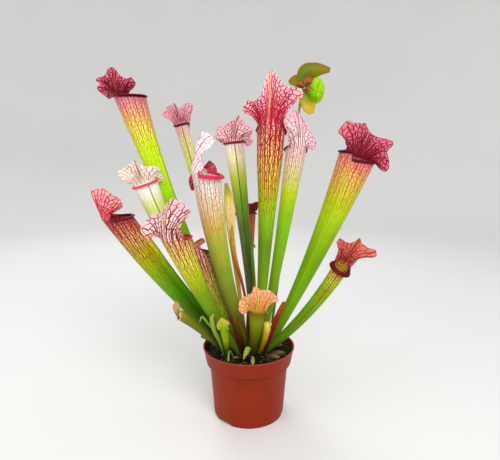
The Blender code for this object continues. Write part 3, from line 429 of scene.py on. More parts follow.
class Pitcher:
    """The sizes of one pitcher leaf in millimetres and degrees, the same as its solid's.

    foot is where it leaves the soil, mouth the middle of its mouth, and bow pulls the tube's middle
    aside. facing is the azimuth that the mouth opens to, and step how far its rim rises on one side of
    the seam and sinks on the other. The hood stands on the back of the rim, over
    neck_turn degrees to each side, and twist turns it about the tube. Its edge goes through points
    to the side of the rim's back, above it and, where given, forward over the mouth, with
    its tip in the middle of the list. lean is how far it nods, cup how far its sides come
    forward, and ruffle the height of its edge's waves.
    """

    def __init__(self, foot, mouth, facing, mouth_radius, hood, foot_radius=4.2, bow=(0, 0, 0), swell=1.6,
                 belly=0.0, slant=0.25, step=0, lip=2.2, keel=1.6, lean=20, cup=-0.15, twist=0, ruffle=3,
                 waves=4.0, phase=0.0, neck_turn=66):
        self.foot, self.mouth = np.array([foot[0] / 1000, foot[1] / 1000, SOIL_TOP]), np.array(mouth) / 1000
        self.bow, self.hood = np.array(bow) / 1000, np.array([(*point, 0)[:3] for point in hood]) / 1000
        self.mouth_radius, self.foot_radius, self.step = mouth_radius / 1000, foot_radius / 1000, step / 1000
        self.lip, self.keel, self.ruffle = lip / 1000, keel / 1000, ruffle / 1000
        self.facing, self.lean, self.twist = math.radians(facing), math.radians(lean), math.radians(twist)
        self.neck_turn, self.swell, self.belly = math.radians(neck_turn), swell, belly
        self.slant, self.cup, self.waves, self.phase = slant, cup, waves, phase
        self.length = np.linalg.norm(self.mouth - self.foot)

    def frame(self, along):
        """The tube's middle line, its direction, and the back and side directions square to it."""
        s = np.asarray(along, float)[..., None]
        knee = (self.foot + self.mouth) / 2 + self.bow
        above = np.clip(s, 0, 1)
        points = (1 - above) ** 2 * self.foot + 2 * above * (1 - above) * knee + above**2 * self.mouth
        axis = unit((1 - above) * (knee - self.foot) + above * (self.mouth - knee))
        back = np.array([-math.cos(self.facing), -math.sin(self.facing), 0.0])
        back = across(np.broadcast_to(back, axis.shape), axis)
        return points + (s - above) * self.length * axis, axis, back, np.cross(axis, back)

    def tube(self, along, angle):
        """Points of the tube: a row for each place along it, a column for each angle, 0 at the back."""
        points, axis, back, side = (a[:, None, :] for a in self.frame(along))
        s = np.asarray(along, float)[:, None]
        t = np.clip(s, 0, 1)
        radius = self.foot_radius + (self.mouth_radius - self.foot_radius) * t**self.swell
        radius = radius * (1 + self.belly * bell((t - BELLY_PLACE) / BELLY_REACH))
        from_seam = math.pi - np.abs(angle)
        keel = self.keel * eased(s / 0.4) * eased((1.05 - s) / 0.3) * bell(from_seam / KEEL_TURN)
        rise = self.slant * self.mouth_radius * np.cos(angle) * eased((s - 0.75) / 0.25)
        rise = rise + self.step * np.sign(angle) * bell(from_seam / 0.9) * eased((s - 0.9) / 0.1)
        turned = np.sin(angle)[:, None] * side + np.cos(angle)[:, None] * back
        return points + (radius + keel)[..., None] * turned + rise[..., None] * axis

    def hood_edge(self, angle, back_rim):
        """Points of the hood's edge for the columns that reach it, its heart, and how it rises."""
        _, axis, back, side = (a[0] for a in self.frame([1.0]))
        turn, aside = math.cos(self.twist), math.sin(self.twist)
        back, side = turn * back + aside * side, turn * side - aside * back
        share = np.clip(angle / self.neck_turn, -1, 1)
        x, y, forward = smooth_through(self.hood, (share + 1) / 2 * (len(self.hood) - 1)).T
        tip_height = self.hood[len(self.hood) // 2, 1]
        edge = share * HOOD_EDGE_TURN
        wave = np.sin(self.waves * edge + self.phase)
        small_wave = np.sin(2.3 * self.waves * edge + 2 * self.phase + 1)
        fine_wave = np.sin(4.7 * self.waves * edge + 5 * self.phase) * np.sin(1.3 * edge + self.phase)
        far = 1 + 0.02 * small_wave + 0.015 * fine_wave
        heart_height = HEART_HEIGHT * tip_height
        bend = self.lean / tip_height

        def place(x, y, forward):
            curl = (bend * y)[:, None]
            middle = back_rim + axis * np.sin(curl) / bend - back * (1 - np.cos(curl)) / bend
            face = -back * np.cos(curl) - axis * np.sin(curl)
            return middle + side * x[:, None] + face * forward[:, None]

        x, y = x * far, heart_height + (y - heart_height) * far
        forward = forward + self.cup * x**2 / HOOD_SPREAD
        forward = forward + self.ruffle * (wave + 0.35 * small_wave + 0.15 * fine_wave)
        heart = place(np.zeros(1), np.array([heart_height]), np.zeros(1))
        return place(x, y, forward), heart, axis * 0.9 - back * 0.1

    def crown(self, shares, angle, rim):
        """Rows past the rim: the hood over the back of the mouth, the rolled lip round the rest."""
        _, axis, back, side = (a[0] for a in self.frame([1.0]))
        hooded = (1 - eased((np.abs(angle) - self.neck_turn) / HOOD_BLEND))[:, None]
        hood_edge, heart, rising = self.hood_edge(angle, rim[np.argmin(np.abs(angle))])
        reach = np.linalg.norm(hood_edge - rim, axis=1, keepdims=True)
        outward = np.sin(angle)[:, None] * side + np.cos(angle)[:, None] * back
        lip_edge = rim + outward * self.lip - axis * self.lip * 0.7
        end = hooded * hood_edge + (1 - hooded) * lip_edge
        first = hooded * rising * reach + (1 - hooded) * (axis + outward * 0.5) * self.lip * 1.7
        last = hooded * unit(hood_edge - heart) * reach * 0.8 - (1 - hooded) * axis * self.lip * 1.5
        w = np.asarray(shares)[:, None, None]
        rows = (2 * w**3 - 3 * w**2 + 1) * rim + (w**3 - 2 * w**2 + w) * first
        return rows + (3 * w**2 - 2 * w**3) * end + (w**3 - w**2) * last, hooded[:, 0]

    def grow(self, finish, columns, tube_rows, crown_rows, wall):
        """The leaf as one closed wall, with its columns closer together at the back."""
        share = np.linspace(-1, 1, columns + 1)
        angle = math.pi * (share * 0.65 + 0.35 * share**3)
        along = np.sin(np.linspace(0, 1, tube_rows) ** 0.9 * math.pi / 2)
        along = np.concatenate([[-FOOT_DEPTH / self.length], along])
        tube = self.tube(along, angle)
        shares = np.arange(1, crown_rows + 1) / crown_rows
        crown, hooded = self.crown(shares, angle, tube[-1])
        sheet = np.concatenate([tube, crown])
        sheet[:, -1] = sheet[:, 0]
        along = np.concatenate([along, 1 + shares])
        over = eased((along - LIP_PLACE) / 0.012)[:, None]
        grown = np.concatenate([np.zeros(len(tube)), eased(shares / 0.45)])[:, None]
        cell_height = np.interp(along, CELL_PLACES, CELL_HEIGHTS)
        return skin(sheet, angle, along, cell_height, finish, grown * hooded, over * (1 - hooded), wall)


def fibres(at, across, up):
    """Fine lengthways streaks from the vein coordinates, so many to a cell across and up."""
    veins = at.node("UVMap", {"uv_map": "veins"}, {})
    fine = {"Vector": at.vector("MULTIPLY", veins, (across, up, 1)), "Scale": 1.0, "Detail": 2.0}
    return at.node("TexNoise", {"noise_dimensions": "2D"}, fine)


def attribute(at, name):
    return at.node("Attribute", {"attribute_name": name}, {}, "Fac")


def leaf_finish(name, ground, vein, net=((0, 0), (2, 0)), hood_vein=None, flush=None,
                flush_at=((0, 0), (2, 0)), seam=None, lip=None, midrib=None, streak=0.24, shine=0.42,
                windows=1.0, bleed=0.4):
    """A leaf's skin: a ground colour along it, veins of a given half width in mm, a flush of colour
    between them, fine lengthways streaks, and its seam rib, lip and midrib. windows is how much finer
    than usual the net on the hood is. Places along the leaf go from 0 at its foot through 1 at its rim.
    """
    made, shader, at = new_finish(name, Subsurface_Weight=0.06, Subsurface_Radius=(0.0022, 0.0014, 0.0006),
                                  Subsurface_Scale=1.0, Specular_IOR_Level=0.11)
    veins = at.node("UVMap", {"uv_map": "veins"}, {})
    along, hood, lip_mask, cell_across, cell_up = (
        attribute(at, key) for key in ("along", "hood", "lip", "cell_across", "cell_up"))
    around = at.node("SeparateXYZ", {}, {0: veins})
    turn = around.maths("ABSOLUTE", around)
    half_along = along * 0.5

    def ramp(stops):
        """Colours, or greys where a stop has one value, at places along the leaf."""
        colours = [(place / 2, paint(*v) if len(v) == 3 else (*v, *v, *v, 1)) for place, *v in stops]
        return at.node("ValToRGB", {"stops": colours}, {0: half_along})

    wander = at.vector("MULTIPLY_ADD", clouds(at, 140.0).other("Color"), (0.5, 0.6, 0), (-0.25, -0.3, 0))

    def from_border(across, up, shift):
        """How far each point is from the border of its cell, in mm however the cells are stretched."""
        place = at.vector("MULTIPLY_ADD", veins, (across, up, 0), (shift, shift, 0))
        cells = {"Vector": at.vector("ADD", place, wander), "Scale": 1.0, "Randomness": 0.8}
        first, second = (at.node("TexVoronoi", {"voronoi_dimensions": "2D", "feature": feature}, cells)
                         for feature in ("F1", "F2"))
        apart = at.vector("SUBTRACT", first.other("Position"), second.other("Position"))
        apart = at.node("SeparateXYZ", {}, {0: apart})
        slope_across = apart * (2 * across) / cell_across
        slope_up = apart.other("Y") * (2 * up) / cell_up
        slope_up = slope_up * slope_up
        slope = slope_across * slope_across + slope_up
        return (second * second - first * first) / slope ** 0.5 * (1 + slope_up / slope * 0.7)

    def line(far, half):
        return 1 - far.step(half * 0.5, half + HAIRLINE)

    colour = ramp(ground)
    blotch = clouds(at, 70.0, 3.0)
    if flush:
        colour = (ramp(flush_at) * (0.6 + blotch * 0.8)).tint(colour, paint(*flush))
    fibre = fibres(at, 5.0, 0.35)
    shade = 1 + (fibre - 0.5) * streak * 2 * (1 - hood) + (blotch - 0.5) * 0.22
    colour = at.node("VectorMath", {"operation": "SCALE"}, {0: colour, "Scale": shade})
    width = ramp(net) * (0.75 + blotch * 0.5)
    on_hood = hood.step(0.1, 0.8)
    tube_far = from_border(across=1.3, up=1.15, shift=3.7)
    hood_far = from_border(across=2.1 * windows, up=1.45 * windows, shift=11.3)
    tube_width = width * 0.85 * (1 - on_hood)
    ray = around * RAYS + at.node("SeparateXYZ", {}, {0: wander})
    ray = ray.maths("ABSOLUTE", ray.maths("FRACT", ray) - 0.5) / RAYS * cell_across
    rays = line(ray, width * 1.1) * along.step(0.55, 0.95) * (1 - lip_mask)
    rays = rays * (1 - along.step(1.55, 1.95) * 0.8)
    drawn = rays.maths("MAXIMUM", line(tube_far, tube_width), line(hood_far, width * on_hood))
    drawn = drawn.maths("MAXIMUM", drawn, rays)
    near = tube_far + (hood_far - tube_far) * on_hood
    near = (1 - near.step(0.0, GLOW_REACH)) * width.step(0.1, 0.5)
    ink = along.step(LIP_PLACE, 1.02).tint(paint(*vein), paint(*(hood_vein or vein)))
    colour = (near * bleed * (0.35 + on_hood * 0.65)).tint(colour, ink)
    colour = drawn.tint(colour, ink)
    if midrib:
        rib = (1 - (turn * cell_across).step(0.5, 1.6)) * along.step(0.9, 1.15)
        colour = (rib * hood.maths("MAXIMUM", hood, 0.3) * 0.8).tint(colour, paint(*midrib))
    if seam:
        rib = 1 - ((VEINS_ROUND / 2 - turn) * cell_across).step(0.35, 1.1)
        colour = (rib * along.step(0.25, 0.5) * 0.85).tint(colour, paint(*seam))
    if lip:
        colour = lip_mask.step(0.2, 0.8).tint(colour, paint(*lip))
    feed(shader, Base_Color=colour, Roughness=shine + drawn * 0.05 + (blotch - 0.5) * 0.12)
    raise_relief(shader, 0.35, 0.0004, drawn * 0.6 + fibre * 0.5)
    return made


def set_pitcher(name, slot, leaf, columns=112, tube_rows=54, crown_rows=34, wall=WALL, **look):
    """Grows a leaf in its skin, and sets it in the place of its solid."""
    coat = leaf_finish(name + "_skin", **look)
    grown = leaf.grow(coat, columns, tube_rows, crown_rows, wall)
    set_in_place(grown, name + "_leaf", slot, "pitcher_" + name)


set_pitcher("tall_left", "crimson_net", Pitcher(
        (-13, 18), (-156, 40, 415), -25, 19.5, bow=(-17, 0, -4), swell=1.9, slant=0.35, lean=2, cup=0.1,
        twist=-45, ruffle=3.5, waves=4.2, hood=((-13, -3.5), (-14.5, 0.5), (-18.5, 4.5), (-27, 8.5),
        (-24.5, 19), (-18, 20), (-13.5, 26.5), (-7.5, 36), (0.5, 37), (6.5, 29.5), (12.5, 31), (19.5, 26),
        (17, 19), (21.5, 12.5), (11, 0))),
    vein=(170, 34, 34), hood_vein=(98, 4, 26), lip=(92, 4, 16), midrib=(170, 84, 44), seam=(176, 100, 40),
    windows=1.3, ground=((0, 52, 130, 1), (0.3, 84, 180, 1), (0.5, 119, 211, 1), (0.66, 169, 243, 4),
    (0.8, 203, 249, 21), (0.9, 229, 213, 99), (0.985, 205, 134, 161), (1, 88, 10, 25), (1.15, 140, 20, 46),
    (1.5, 190, 70, 96), (2, 226, 112, 138)), net=((0, 0), (0.5, 0), (0.66, 0.1), (0.8, 0.3), (1, 0.58),
    (1.12, 1.5), (1.5, 1.35), (2, 1.05)), flush=(226, 120, 90), flush_at=((0, 0), (0.85, 0), (0.97, 0.2),
    (1.1, 0), (2, 0)))


# A slim leaf stands behind at the left and faces the viewer. Its hood is dusty pink with a fine dark net,
# its lip is a dark arch, and a brown seam runs down its cream and green front.
set_pitcher("far_left", "pink_net", Pitcher(
        (-4, 28), (-99.5, 100, 386), -82, 9.5, foot_radius=3.4, bow=(-4, 4, 0), slant=0.35, lean=-18,
        cup=0.3, ruffle=2.5, waves=3.5, hood=((-10, -10), (-17, 7.5), (-24, 18.5), (-17, 29), (-5.5, 27.5),
        (1.5, 35.5), (9, 32.5), (15.5, 28), (23.5, 20), (13, 7), (10.5, -2))),
    vein=(200, 110, 110), hood_vein=(122, 26, 46), lip=(112, 10, 30), midrib=(110, 40, 50),
    seam=(124, 84, 24), windows=1.2, ground=((0, 74, 167, 3), (0.4, 118, 227, 3), (0.65, 147, 253, 7),
    (0.8, 200, 253, 79), (0.92, 226, 251, 170), (1, 223, 198, 209), (1.15, 220, 140, 148),
    (1.5, 230, 160, 171), (2, 236, 174, 186)), net=((0, 0), (0.7, 0.05), (0.9, 0.22), (1.05, 0.41),
    (1.15, 0.6), (1.6, 0.52), (2, 0.45)), flush=(214, 80, 120), flush_at=((0, 0), (1, 0.15), (1.3, 0),
    (1.7, 0), (2, 0.3)), bleed=0.3)


# A straight slim leaf stands at the back of the middle and faces the viewer, with a pale pink hood, brown
# veins and hot pink lower lobes. Its white and pink throat turns dark green halfway down.
set_pitcher("centre", "pink_net", Pitcher(
        (8, 27), (-19.8, 45, 356), -86, 13.2, foot_radius=4, bow=(4, 0, -4), swell=1.7, slant=0.1, lean=-6,
        waves=4.5, hood=((-15.5, -4), (-20, -7.5), (-27, -1.5), (-24.5, 5), (-26.5, 11), (-26.5, 17.5),
        (-20, 23.5), (-16, 32), (-11, 36.5), (-6.5, 30), (0.5, 29), (8.5, 25.5), (16, 25), (22, 18.5),
        (23, 8.5), (18, 2.5), (11.5, 4))),
    vein=(220, 150, 150), hood_vein=(124, 28, 46), lip=(150, 12, 44), midrib=(130, 60, 50),
    seam=(60, 84, 10), windows=1.2, ground=((0, 15, 68, 1), (0.4, 25, 94, 1), (0.6, 57, 116, 1),
    (0.74, 110, 169, 1), (0.84, 190, 209, 36), (0.92, 252, 245, 183), (1, 255, 246, 255),
    (1.15, 246, 206, 204), (1.5, 248, 204, 208), (2, 248, 196, 206)),
    net=((0, 0), (0.78, 0), (0.92, 0.17), (1.04, 0.41), (1.15, 0.66), (1.6, 0.59), (2, 0.55)),
    flush=(220, 60, 110), flush_at=((0, 0), (1, 0), (1.6, 0.1), (2, 0.3)), bleed=0.3)


# The whitest leaf stands in the middle and is seen from its left side. Its hood arches over the mouth, with
# a fine rose net on white, and its tube goes from white through tan to bright lime.
set_pitcher("white", "white_net", Pitcher(
        (-1, 0), (-48, -45, 314.5), -12, 16, foot_radius=4.6, bow=(-15, -10, 4), swell=1.1, lip=4, lean=4,
        cup=0, twist=90, ruffle=2, waves=3.5, neck_turn=62, hood=((7, 4, 8), (6.5, 13.5, 8), (11.5, 22, 10),
        (20, 27.5, 11), (21, 35, 10), (18, 41, 7), (15, 42.5, 3), (23.5, 39.5), (28, 32.5), (24.5, 24),
        (16.5, 20.5, -2), (13, 11.5, -3), (14, 2.5, -3))),
    vein=(202, 76, 74), hood_vein=(190, 40, 70), lip=(206, 34, 70), seam=(190, 200, 60),
    ground=((0, 47, 91, 1), (0.3, 81, 139, 1), (0.5, 86, 164, 1), (0.62, 121, 190, 6), (0.74, 180, 201, 70),
    (0.86, 218, 230, 191), (1, 231, 246, 242), (1.15, 244, 242, 238), (1.5, 243, 236, 236),
    (2, 242, 232, 234)), net=((0, 0), (0.45, 0.09), (0.7, 0.33), (0.9, 0.43), (1.2, 0.39), (2, 0.44)),
    flush=(236, 140, 110), flush_at=((0, 0), (0.5, 0.1), (0.8, 0.2), (1.1, 0), (2, 0)), bleed=0.12)


# The tallest leaf turns its back to the viewer: a broad netted tube that goes up into a star-shaped hood
# with a high point and two side lobes. Crimson veins lie on pink windows above, and on red-brown and
# yellow below.
set_pitcher("tall_right", "crimson_net", Pitcher(
        (12.5, 9), (27, -10, 366), 75, 16.5, foot_radius=4.4, bow=(2, -4, 0), belly=0.08, slant=0.35,
        lean=22, cup=-0.1, ruffle=2, waves=3.6, phase=0.6, hood=((-11, -2.5), (-16, 5), (-25.5, 10.5),
        (-31.5, 15.5), (-27.5, 25), (-18.5, 25), (-10, 33), (-7.5, 51), (-2.5, 63.5), (4.5, 59.5), (11, 50),
        (19, 41.5), (32, 38.5), (39.5, 29.5), (30, 23), (21, 13), (19, 0.5))),
    vein=(150, 18, 24), hood_vein=(160, 10, 46), lip=(130, 10, 34), midrib=(226, 176, 110),
    seam=(120, 150, 20), windows=1.55, ground=((0, 68, 128, 5), (0.3, 104, 181, 5), (0.5, 67, 162, 1),
    (0.66, 134, 223, 5), (0.78, 197, 220, 27), (0.88, 249, 221, 108), (1, 238, 159, 160),
    (1.15, 206, 104, 108), (1.5, 224, 144, 152), (2, 248, 196, 204)),
    net=((0, 0), (0.35, 0.05), (0.6, 0.25), (0.8, 0.69), (0.92, 1.15), (1.1, 1.3), (1.5, 1.3), (2, 1)),
    flush=(196, 40, 60), flush_at=((0, 0), (0.6, 0.05), (0.85, 0.2), (1, 0.3), (1.3, 0.25), (1.7, 0.1),
    (2, 0.1)), bleed=0.3)


# A cream leaf right of the tallest one turns its back too. Its narrow white hood has a dark crimson net and
# a lobe that hangs at either side, and its tube turns lime green.
set_pitcher("right", "pink_net", Pitcher(
        (19, 21), (64.2, 50, 347.4), 104, 13.8, bow=(2, 0, -4), swell=1.45, slant=0.3, lean=14, cup=-0.1,
        ruffle=2, phase=1.1, hood=((-14, -4.5), (-19.5, 4.5), (-21, 13.5), (-26, 22.5), (-20, 37.5),
        (-11.5, 45.5), (-3, 38.5), (4, 26), (21.5, 8), (18.5, -3), (10, -2.5))),
    vein=(186, 60, 60), hood_vein=(140, 14, 50), lip=(110, 10, 34), midrib=(170, 120, 110),
    seam=(120, 90, 30), windows=1.15, ground=((0, 82, 139, 1), (0.35, 108, 176, 1), (0.55, 122, 196, 1),
    (0.68, 139, 209, 1), (0.78, 186, 230, 13), (0.88, 228, 235, 166), (0.97, 240, 227, 224),
    (1.15, 252, 238, 238), (1.5, 254, 234, 238), (2, 252, 218, 228)),
    net=((0, 0), (0.6, 0), (0.8, 0.19), (1, 0.5), (1.25, 0.57), (1.6, 0.6), (2, 0.63)), flush=(222, 40, 90),
    flush_at=((0, 0), (1.2, 0), (1.75, 0.1), (2, 0.4)), bleed=0.1)


# The biggest leaf on the right leans out and opens to the viewer. A deep crimson hood with pink windows
# spreads above its dark lip, and its orange throat turns yellow and then green.
set_pitcher("big_right", "crimson_net", Pitcher(
        (27, 10), (135.6, 5, 335), -115, 22.5, foot_radius=4.4, bow=(6, 0, -8), swell=1.35, slant=0.1,
        step=4, lean=-6, cup=0.12, ruffle=4, waves=4.4, phase=0.4,
        hood=((-21.5, 0), (-27.5, -5), (-36.5, -6.5), (-39, 2.5), (-30, 15.5), (-34, 27), (-27, 32),
        (-10.5, 33.5), (-3, 32.5), (4, 38), (11, 43.5), (21.5, 43), (33.5, 38), (38, 21.5), (25.5, 20),
        (26, 13), (17.5, 6.5))),
    vein=(170, 34, 30), hood_vein=(106, 4, 30), lip=(84, 4, 16), midrib=(140, 20, 40), seam=(150, 160, 10),
    windows=1.4, ground=((0, 69, 132, 1), (0.3, 104, 183, 1), (0.5, 102, 172, 1), (0.7, 156, 211, 1),
    (0.8, 183, 209, 14), (0.9, 215, 207, 87), (0.985, 227, 141, 140), (1, 94, 13, 29), (1.2, 160, 28, 54),
    (1.5, 198, 78, 100), (2, 230, 116, 138)), net=((0, 0), (0.5, 0), (0.7, 0.16), (0.9, 0.48), (1.05, 0.92),
    (1.12, 1.45), (1.5, 1.3), (2, 0.95)), flush=(214, 80, 50), flush_at=((0, 0), (0.75, 0.03), (0.92, 0.25),
    (1, 0.1), (1.05, 0), (2, 0)))


# The lowest leaf on the right lies far out. Its ragged red-brown collar has begun to dry, its hood is dark
# red, and its tube is olive green with an orange throat.
set_pitcher("low_right", "crimson_net", Pitcher(
        (21, -5), (112, -30, 202), -100, 9.2, bow=(6, 0, -14), swell=1.1, slant=0.35, lip=4.5, lean=4,
        cup=0.1, ruffle=2, waves=3.5, neck_turn=60, hood=((-11.5, 1.5), (-13.5, 13.5), (-17.5, 20.5),
        (-25, 25.5), (-28, 31), (-24.5, 35.5), (-15.5, 32.5), (-6.5, 34), (-1, 37.5), (1.5, 33), (6, 27),
        (12, 25), (19, 25.5), (19.5, 20.5), (16.5, 15), (13, 11.5), (9.5, -1.5))),
    vein=(136, 26, 16), hood_vein=(100, 8, 20), lip=(84, 6, 14), midrib=(150, 30, 30), seam=(150, 30, 20),
    ground=((0, 44, 106, 1), (0.3, 63, 145, 1), (0.6, 78, 178, 1), (0.8, 135, 188, 3), (0.9, 186, 248, 63),
    (0.97, 255, 255, 76), (1.15, 186, 84, 66), (1.5, 208, 106, 90), (2, 222, 120, 106)),
    net=((0, 0), (0.6, 0.12), (0.8, 0.26), (1, 0.58), (1.15, 0.85), (1.6, 0.65), (2, 0.55)),
    flush=(170, 40, 30), flush_at=((0, 0), (0.85, 0), (1, 0.4), (1.3, 0.3), (2, 0.1)))


# A cream leaf in front of the tallest left one faces the viewer. Fine red-brown veins cross its wide white
# hood, its lip is a bright red line, and a brown seam runs down its right side.
set_pitcher("cream", "white_net", Pitcher(
        (-21, 10), (-126.2, -12, 302.5), -65, 14.5, foot_radius=4, bow=(-14, 0, 0), slant=0.05, lean=-2,
        cup=-0.1, hood=((-18, -6), (-25.5, -4.5), (-27.5, 1.5), (-23, 14), (-12, 17.5), (-4, 24.5),
        (-1, 30), (4.5, 27.5), (11, 26.5), (19, 24.5), (23.5, 19.5), (19.5, 9.5), (11.5, 2))),
    vein=(206, 176, 110), hood_vein=(170, 90, 74), lip=(222, 60, 84), midrib=(110, 90, 60),
    seam=(140, 100, 30), ground=((0, 44, 88, 1), (0.4, 73, 125, 1), (0.6, 112, 164, 7),
    (0.75, 174, 198, 67), (0.88, 208, 230, 133), (0.97, 255, 255, 255), (1.15, 228, 224, 204),
    (1.5, 233, 225, 208), (2, 236, 226, 210)), net=((0, 0), (0.7, 0), (0.9, 0.12), (1.05, 0.24),
    (1.2, 0.44), (2, 0.44)), bleed=0.15)


# The lowest leaf on the left leans far out, seen from its side. Its hood nods over the mouth, red-netted
# on pink, its lip sticks out dark red, and its net runs far down an olive tube with a broad keel.
set_pitcher("low_left", "crimson_net", Pitcher(
        (-19, -3), (-157.5, -25, 262), 0, 16, bow=(-10, 0, -10), swell=1.1, slant=0.45, keel=6, lean=4,
        cup=0, twist=85, ruffle=2.5, waves=3.8, hood=((-1, 1.5, 12), (6, 7.5, 13), (18.5, 6, 14),
        (19.5, 16, 13), (14, 27.5, 10), (4, 35, 4), (14, 34, 2), (26, 25.5), (32, 11), (30.5, 1, -1),
        (14.5, 0, -3))),
    vein=(128, 14, 24), hood_vein=(176, 12, 44), lip=(100, 10, 24), midrib=(190, 60, 60),
    seam=(120, 60, 10), windows=1.3, ground=((0, 31, 68, 1), (0.3, 43, 100, 1), (0.5, 74, 157, 1),
    (0.65, 135, 184, 2), (0.78, 192, 194, 21), (0.88, 221, 174, 109), (1, 173, 65, 77),
    (1.15, 214, 124, 122), (1.5, 230, 155, 154), (2, 240, 176, 176)),
    net=((0, 0), (0.45, 0.03), (0.7, 0.32), (0.88, 0.72), (1.05, 1.01), (1.15, 0.94), (1.6, 0.88),
    (2, 0.77)), flush=(190, 50, 40), flush_at=((0, 0), (0.7, 0), (0.95, 0.12), (1.15, 0.1), (2, 0.15)),
    bleed=0.35)


# The nearest tall leaf at the left turns its back and lifts a broad waved hood of white and pink windows in
# a strong crimson net, over a dark mouth at its right and a yellow-green tube.
set_pitcher("front_left", "pink_net", Pitcher(
        (-12, -13), (-79.5, -70, 244), 56, 15.2, bow=(-7, -2, -6), slant=0.3, lean=16, cup=-0.1, twist=20,
        waves=4.2, phase=0.5, hood=((-5.5, 10.5), (-14, 8), (-19, 13.5), (-21.5, 21), (-13, 27.5), (-5, 33),
        (5.5, 31.5), (14.5, 37), (22.5, 44.5), (28.5, 42), (35, 36), (42.5, 33.5), (42, 29), (37, 23.5),
        (30.5, 21), (26, 16), (24, 11))),
    vein=(146, 32, 24), hood_vein=(140, 8, 38), lip=(190, 24, 50), midrib=(200, 180, 100),
    seam=(130, 110, 20), windows=0.95, ground=((0, 57, 116, 1), (0.35, 74, 136, 1), (0.6, 103, 170, 1),
    (0.74, 178, 214, 16), (0.86, 222, 227, 74), (0.97, 228, 198, 126), (1.15, 250, 222, 206),
    (1.5, 252, 224, 216), (2, 252, 212, 216)), net=((0, 0), (0.45, 0.05), (0.7, 0.28), (0.9, 0.53),
    (1.12, 1), (1.6, 0.95), (2, 0.85)), flush=(220, 60, 100), flush_at=((0, 0), (1.2, 0.04), (1.75, 0.1),
    (2, 0.35)), bleed=0.2)


# A short leaf stands behind the front ones, its tube green to yellow under a red-brown net. Its hood is a
# narrow strip that has curled up over the mouth.
set_pitcher("low_back", "crimson_net", Pitcher(
        (-9.5, 7), (-58.5, -14, 220), 30, 11.5, foot_radius=3.6, bow=(-8, 0, -2), slant=0.6, twist=45,
        ruffle=2, waves=3, hood=((-1, -8), (1, -0.5), (5.5, 5), (16, 10.5), (19.5, 6.5), (12.5, 1),
        (13, -3.5))),
    vein=(140, 14, 28), hood_vein=(150, 30, 40), lip=(140, 50, 46), midrib=(150, 80, 60),
    seam=(150, 40, 30), ground=((0, 52, 127, 1), (0.3, 90, 205, 4), (0.5, 168, 253, 31),
    (0.75, 255, 255, 122), (1, 255, 214, 198), (1.15, 226, 190, 130), (1.5, 223, 175, 130),
    (2, 220, 160, 130)), net=((0, 0), (0.3, 0.14), (0.5, 0.42), (0.8, 0.72), (1, 0.72), (1.2, 0.5),
    (2, 0.4)), flush=(190, 50, 50), flush_at=((0, 0), (0.5, 0.15), (1, 0.25), (1.3, 0.4), (2, 0.3)),
    bleed=0.2)


# A small leaf stands at the very back. Between the tall tubes only its upper part shows: an orange throat
# under a frilled dark crimson hood.
set_pitcher("small_back", "crimson_net", Pitcher(
        (-2, 37), (3.2, 100, 255), -85, 6.8, foot_radius=2.4, bow=(2, -6, 0), swell=2.2, slant=0.1, lean=10,
        ruffle=2.5, hood=((-4.5, 2.5), (-10, 7), (-12, 12.5), (-10.5, 20), (-3.5, 17.5), (4, 16.5),
        (10, 13), (19.5, 9.5), (23, -0.5), (19, -6.5), (8.5, 0))),
    vein=(150, 40, 30), hood_vein=(70, 4, 12), lip=(84, 6, 16), midrib=(130, 20, 30), seam=(110, 60, 20),
    ground=((0, 36, 74, 1), (0.55, 56, 104, 2), (0.75, 160, 136, 40), (0.88, 214, 136, 80),
    (0.985, 196, 90, 66), (1, 66, 8, 12), (1.2, 110, 14, 20), (1.5, 122, 19, 27), (2, 130, 22, 32)),
    net=((0, 0), (0.7, 0.1), (0.95, 0.4), (1.2, 0.6), (2, 0.5)))


# Another leaf stands behind the white one, and only an edge of its dark red hood is in view from the front.
# The rest of it is grown as its neighbours are.
set_pitcher("hidden", "crimson_net", Pitcher(
        (-14, 29), (-60.3, 40, 308), -60, 11, foot_radius=3.4, bow=(-6, 0, 0), slant=0.1, lean=5, twist=-20,
        hood=((-11, -12), (-15.5, -10), (-21.5, -6.5), (-25.5, 0), (-24, 8), (-21.5, 17.5), (-15.5, 22),
        (-8.5, 16), (0, 14), (12, 7), (17, -2.5), (15, -14.5), (8.5, -12))),
    vein=(190, 80, 70), hood_vein=(96, 6, 24), lip=(104, 8, 24), midrib=(130, 20, 40), seam=(110, 110, 20),
    ground=((0, 36, 90, 2), (0.5, 80, 144, 3), (0.75, 190, 180, 50), (0.9, 226, 150, 90),
    (0.985, 210, 100, 90), (1, 90, 18, 30), (1.2, 150, 30, 50), (1.5, 180, 58, 78), (2, 200, 76, 96)),
    net=((0, 0), (0.6, 0.1), (0.9, 0.4), (1.2, 0.8), (2, 0.5)))


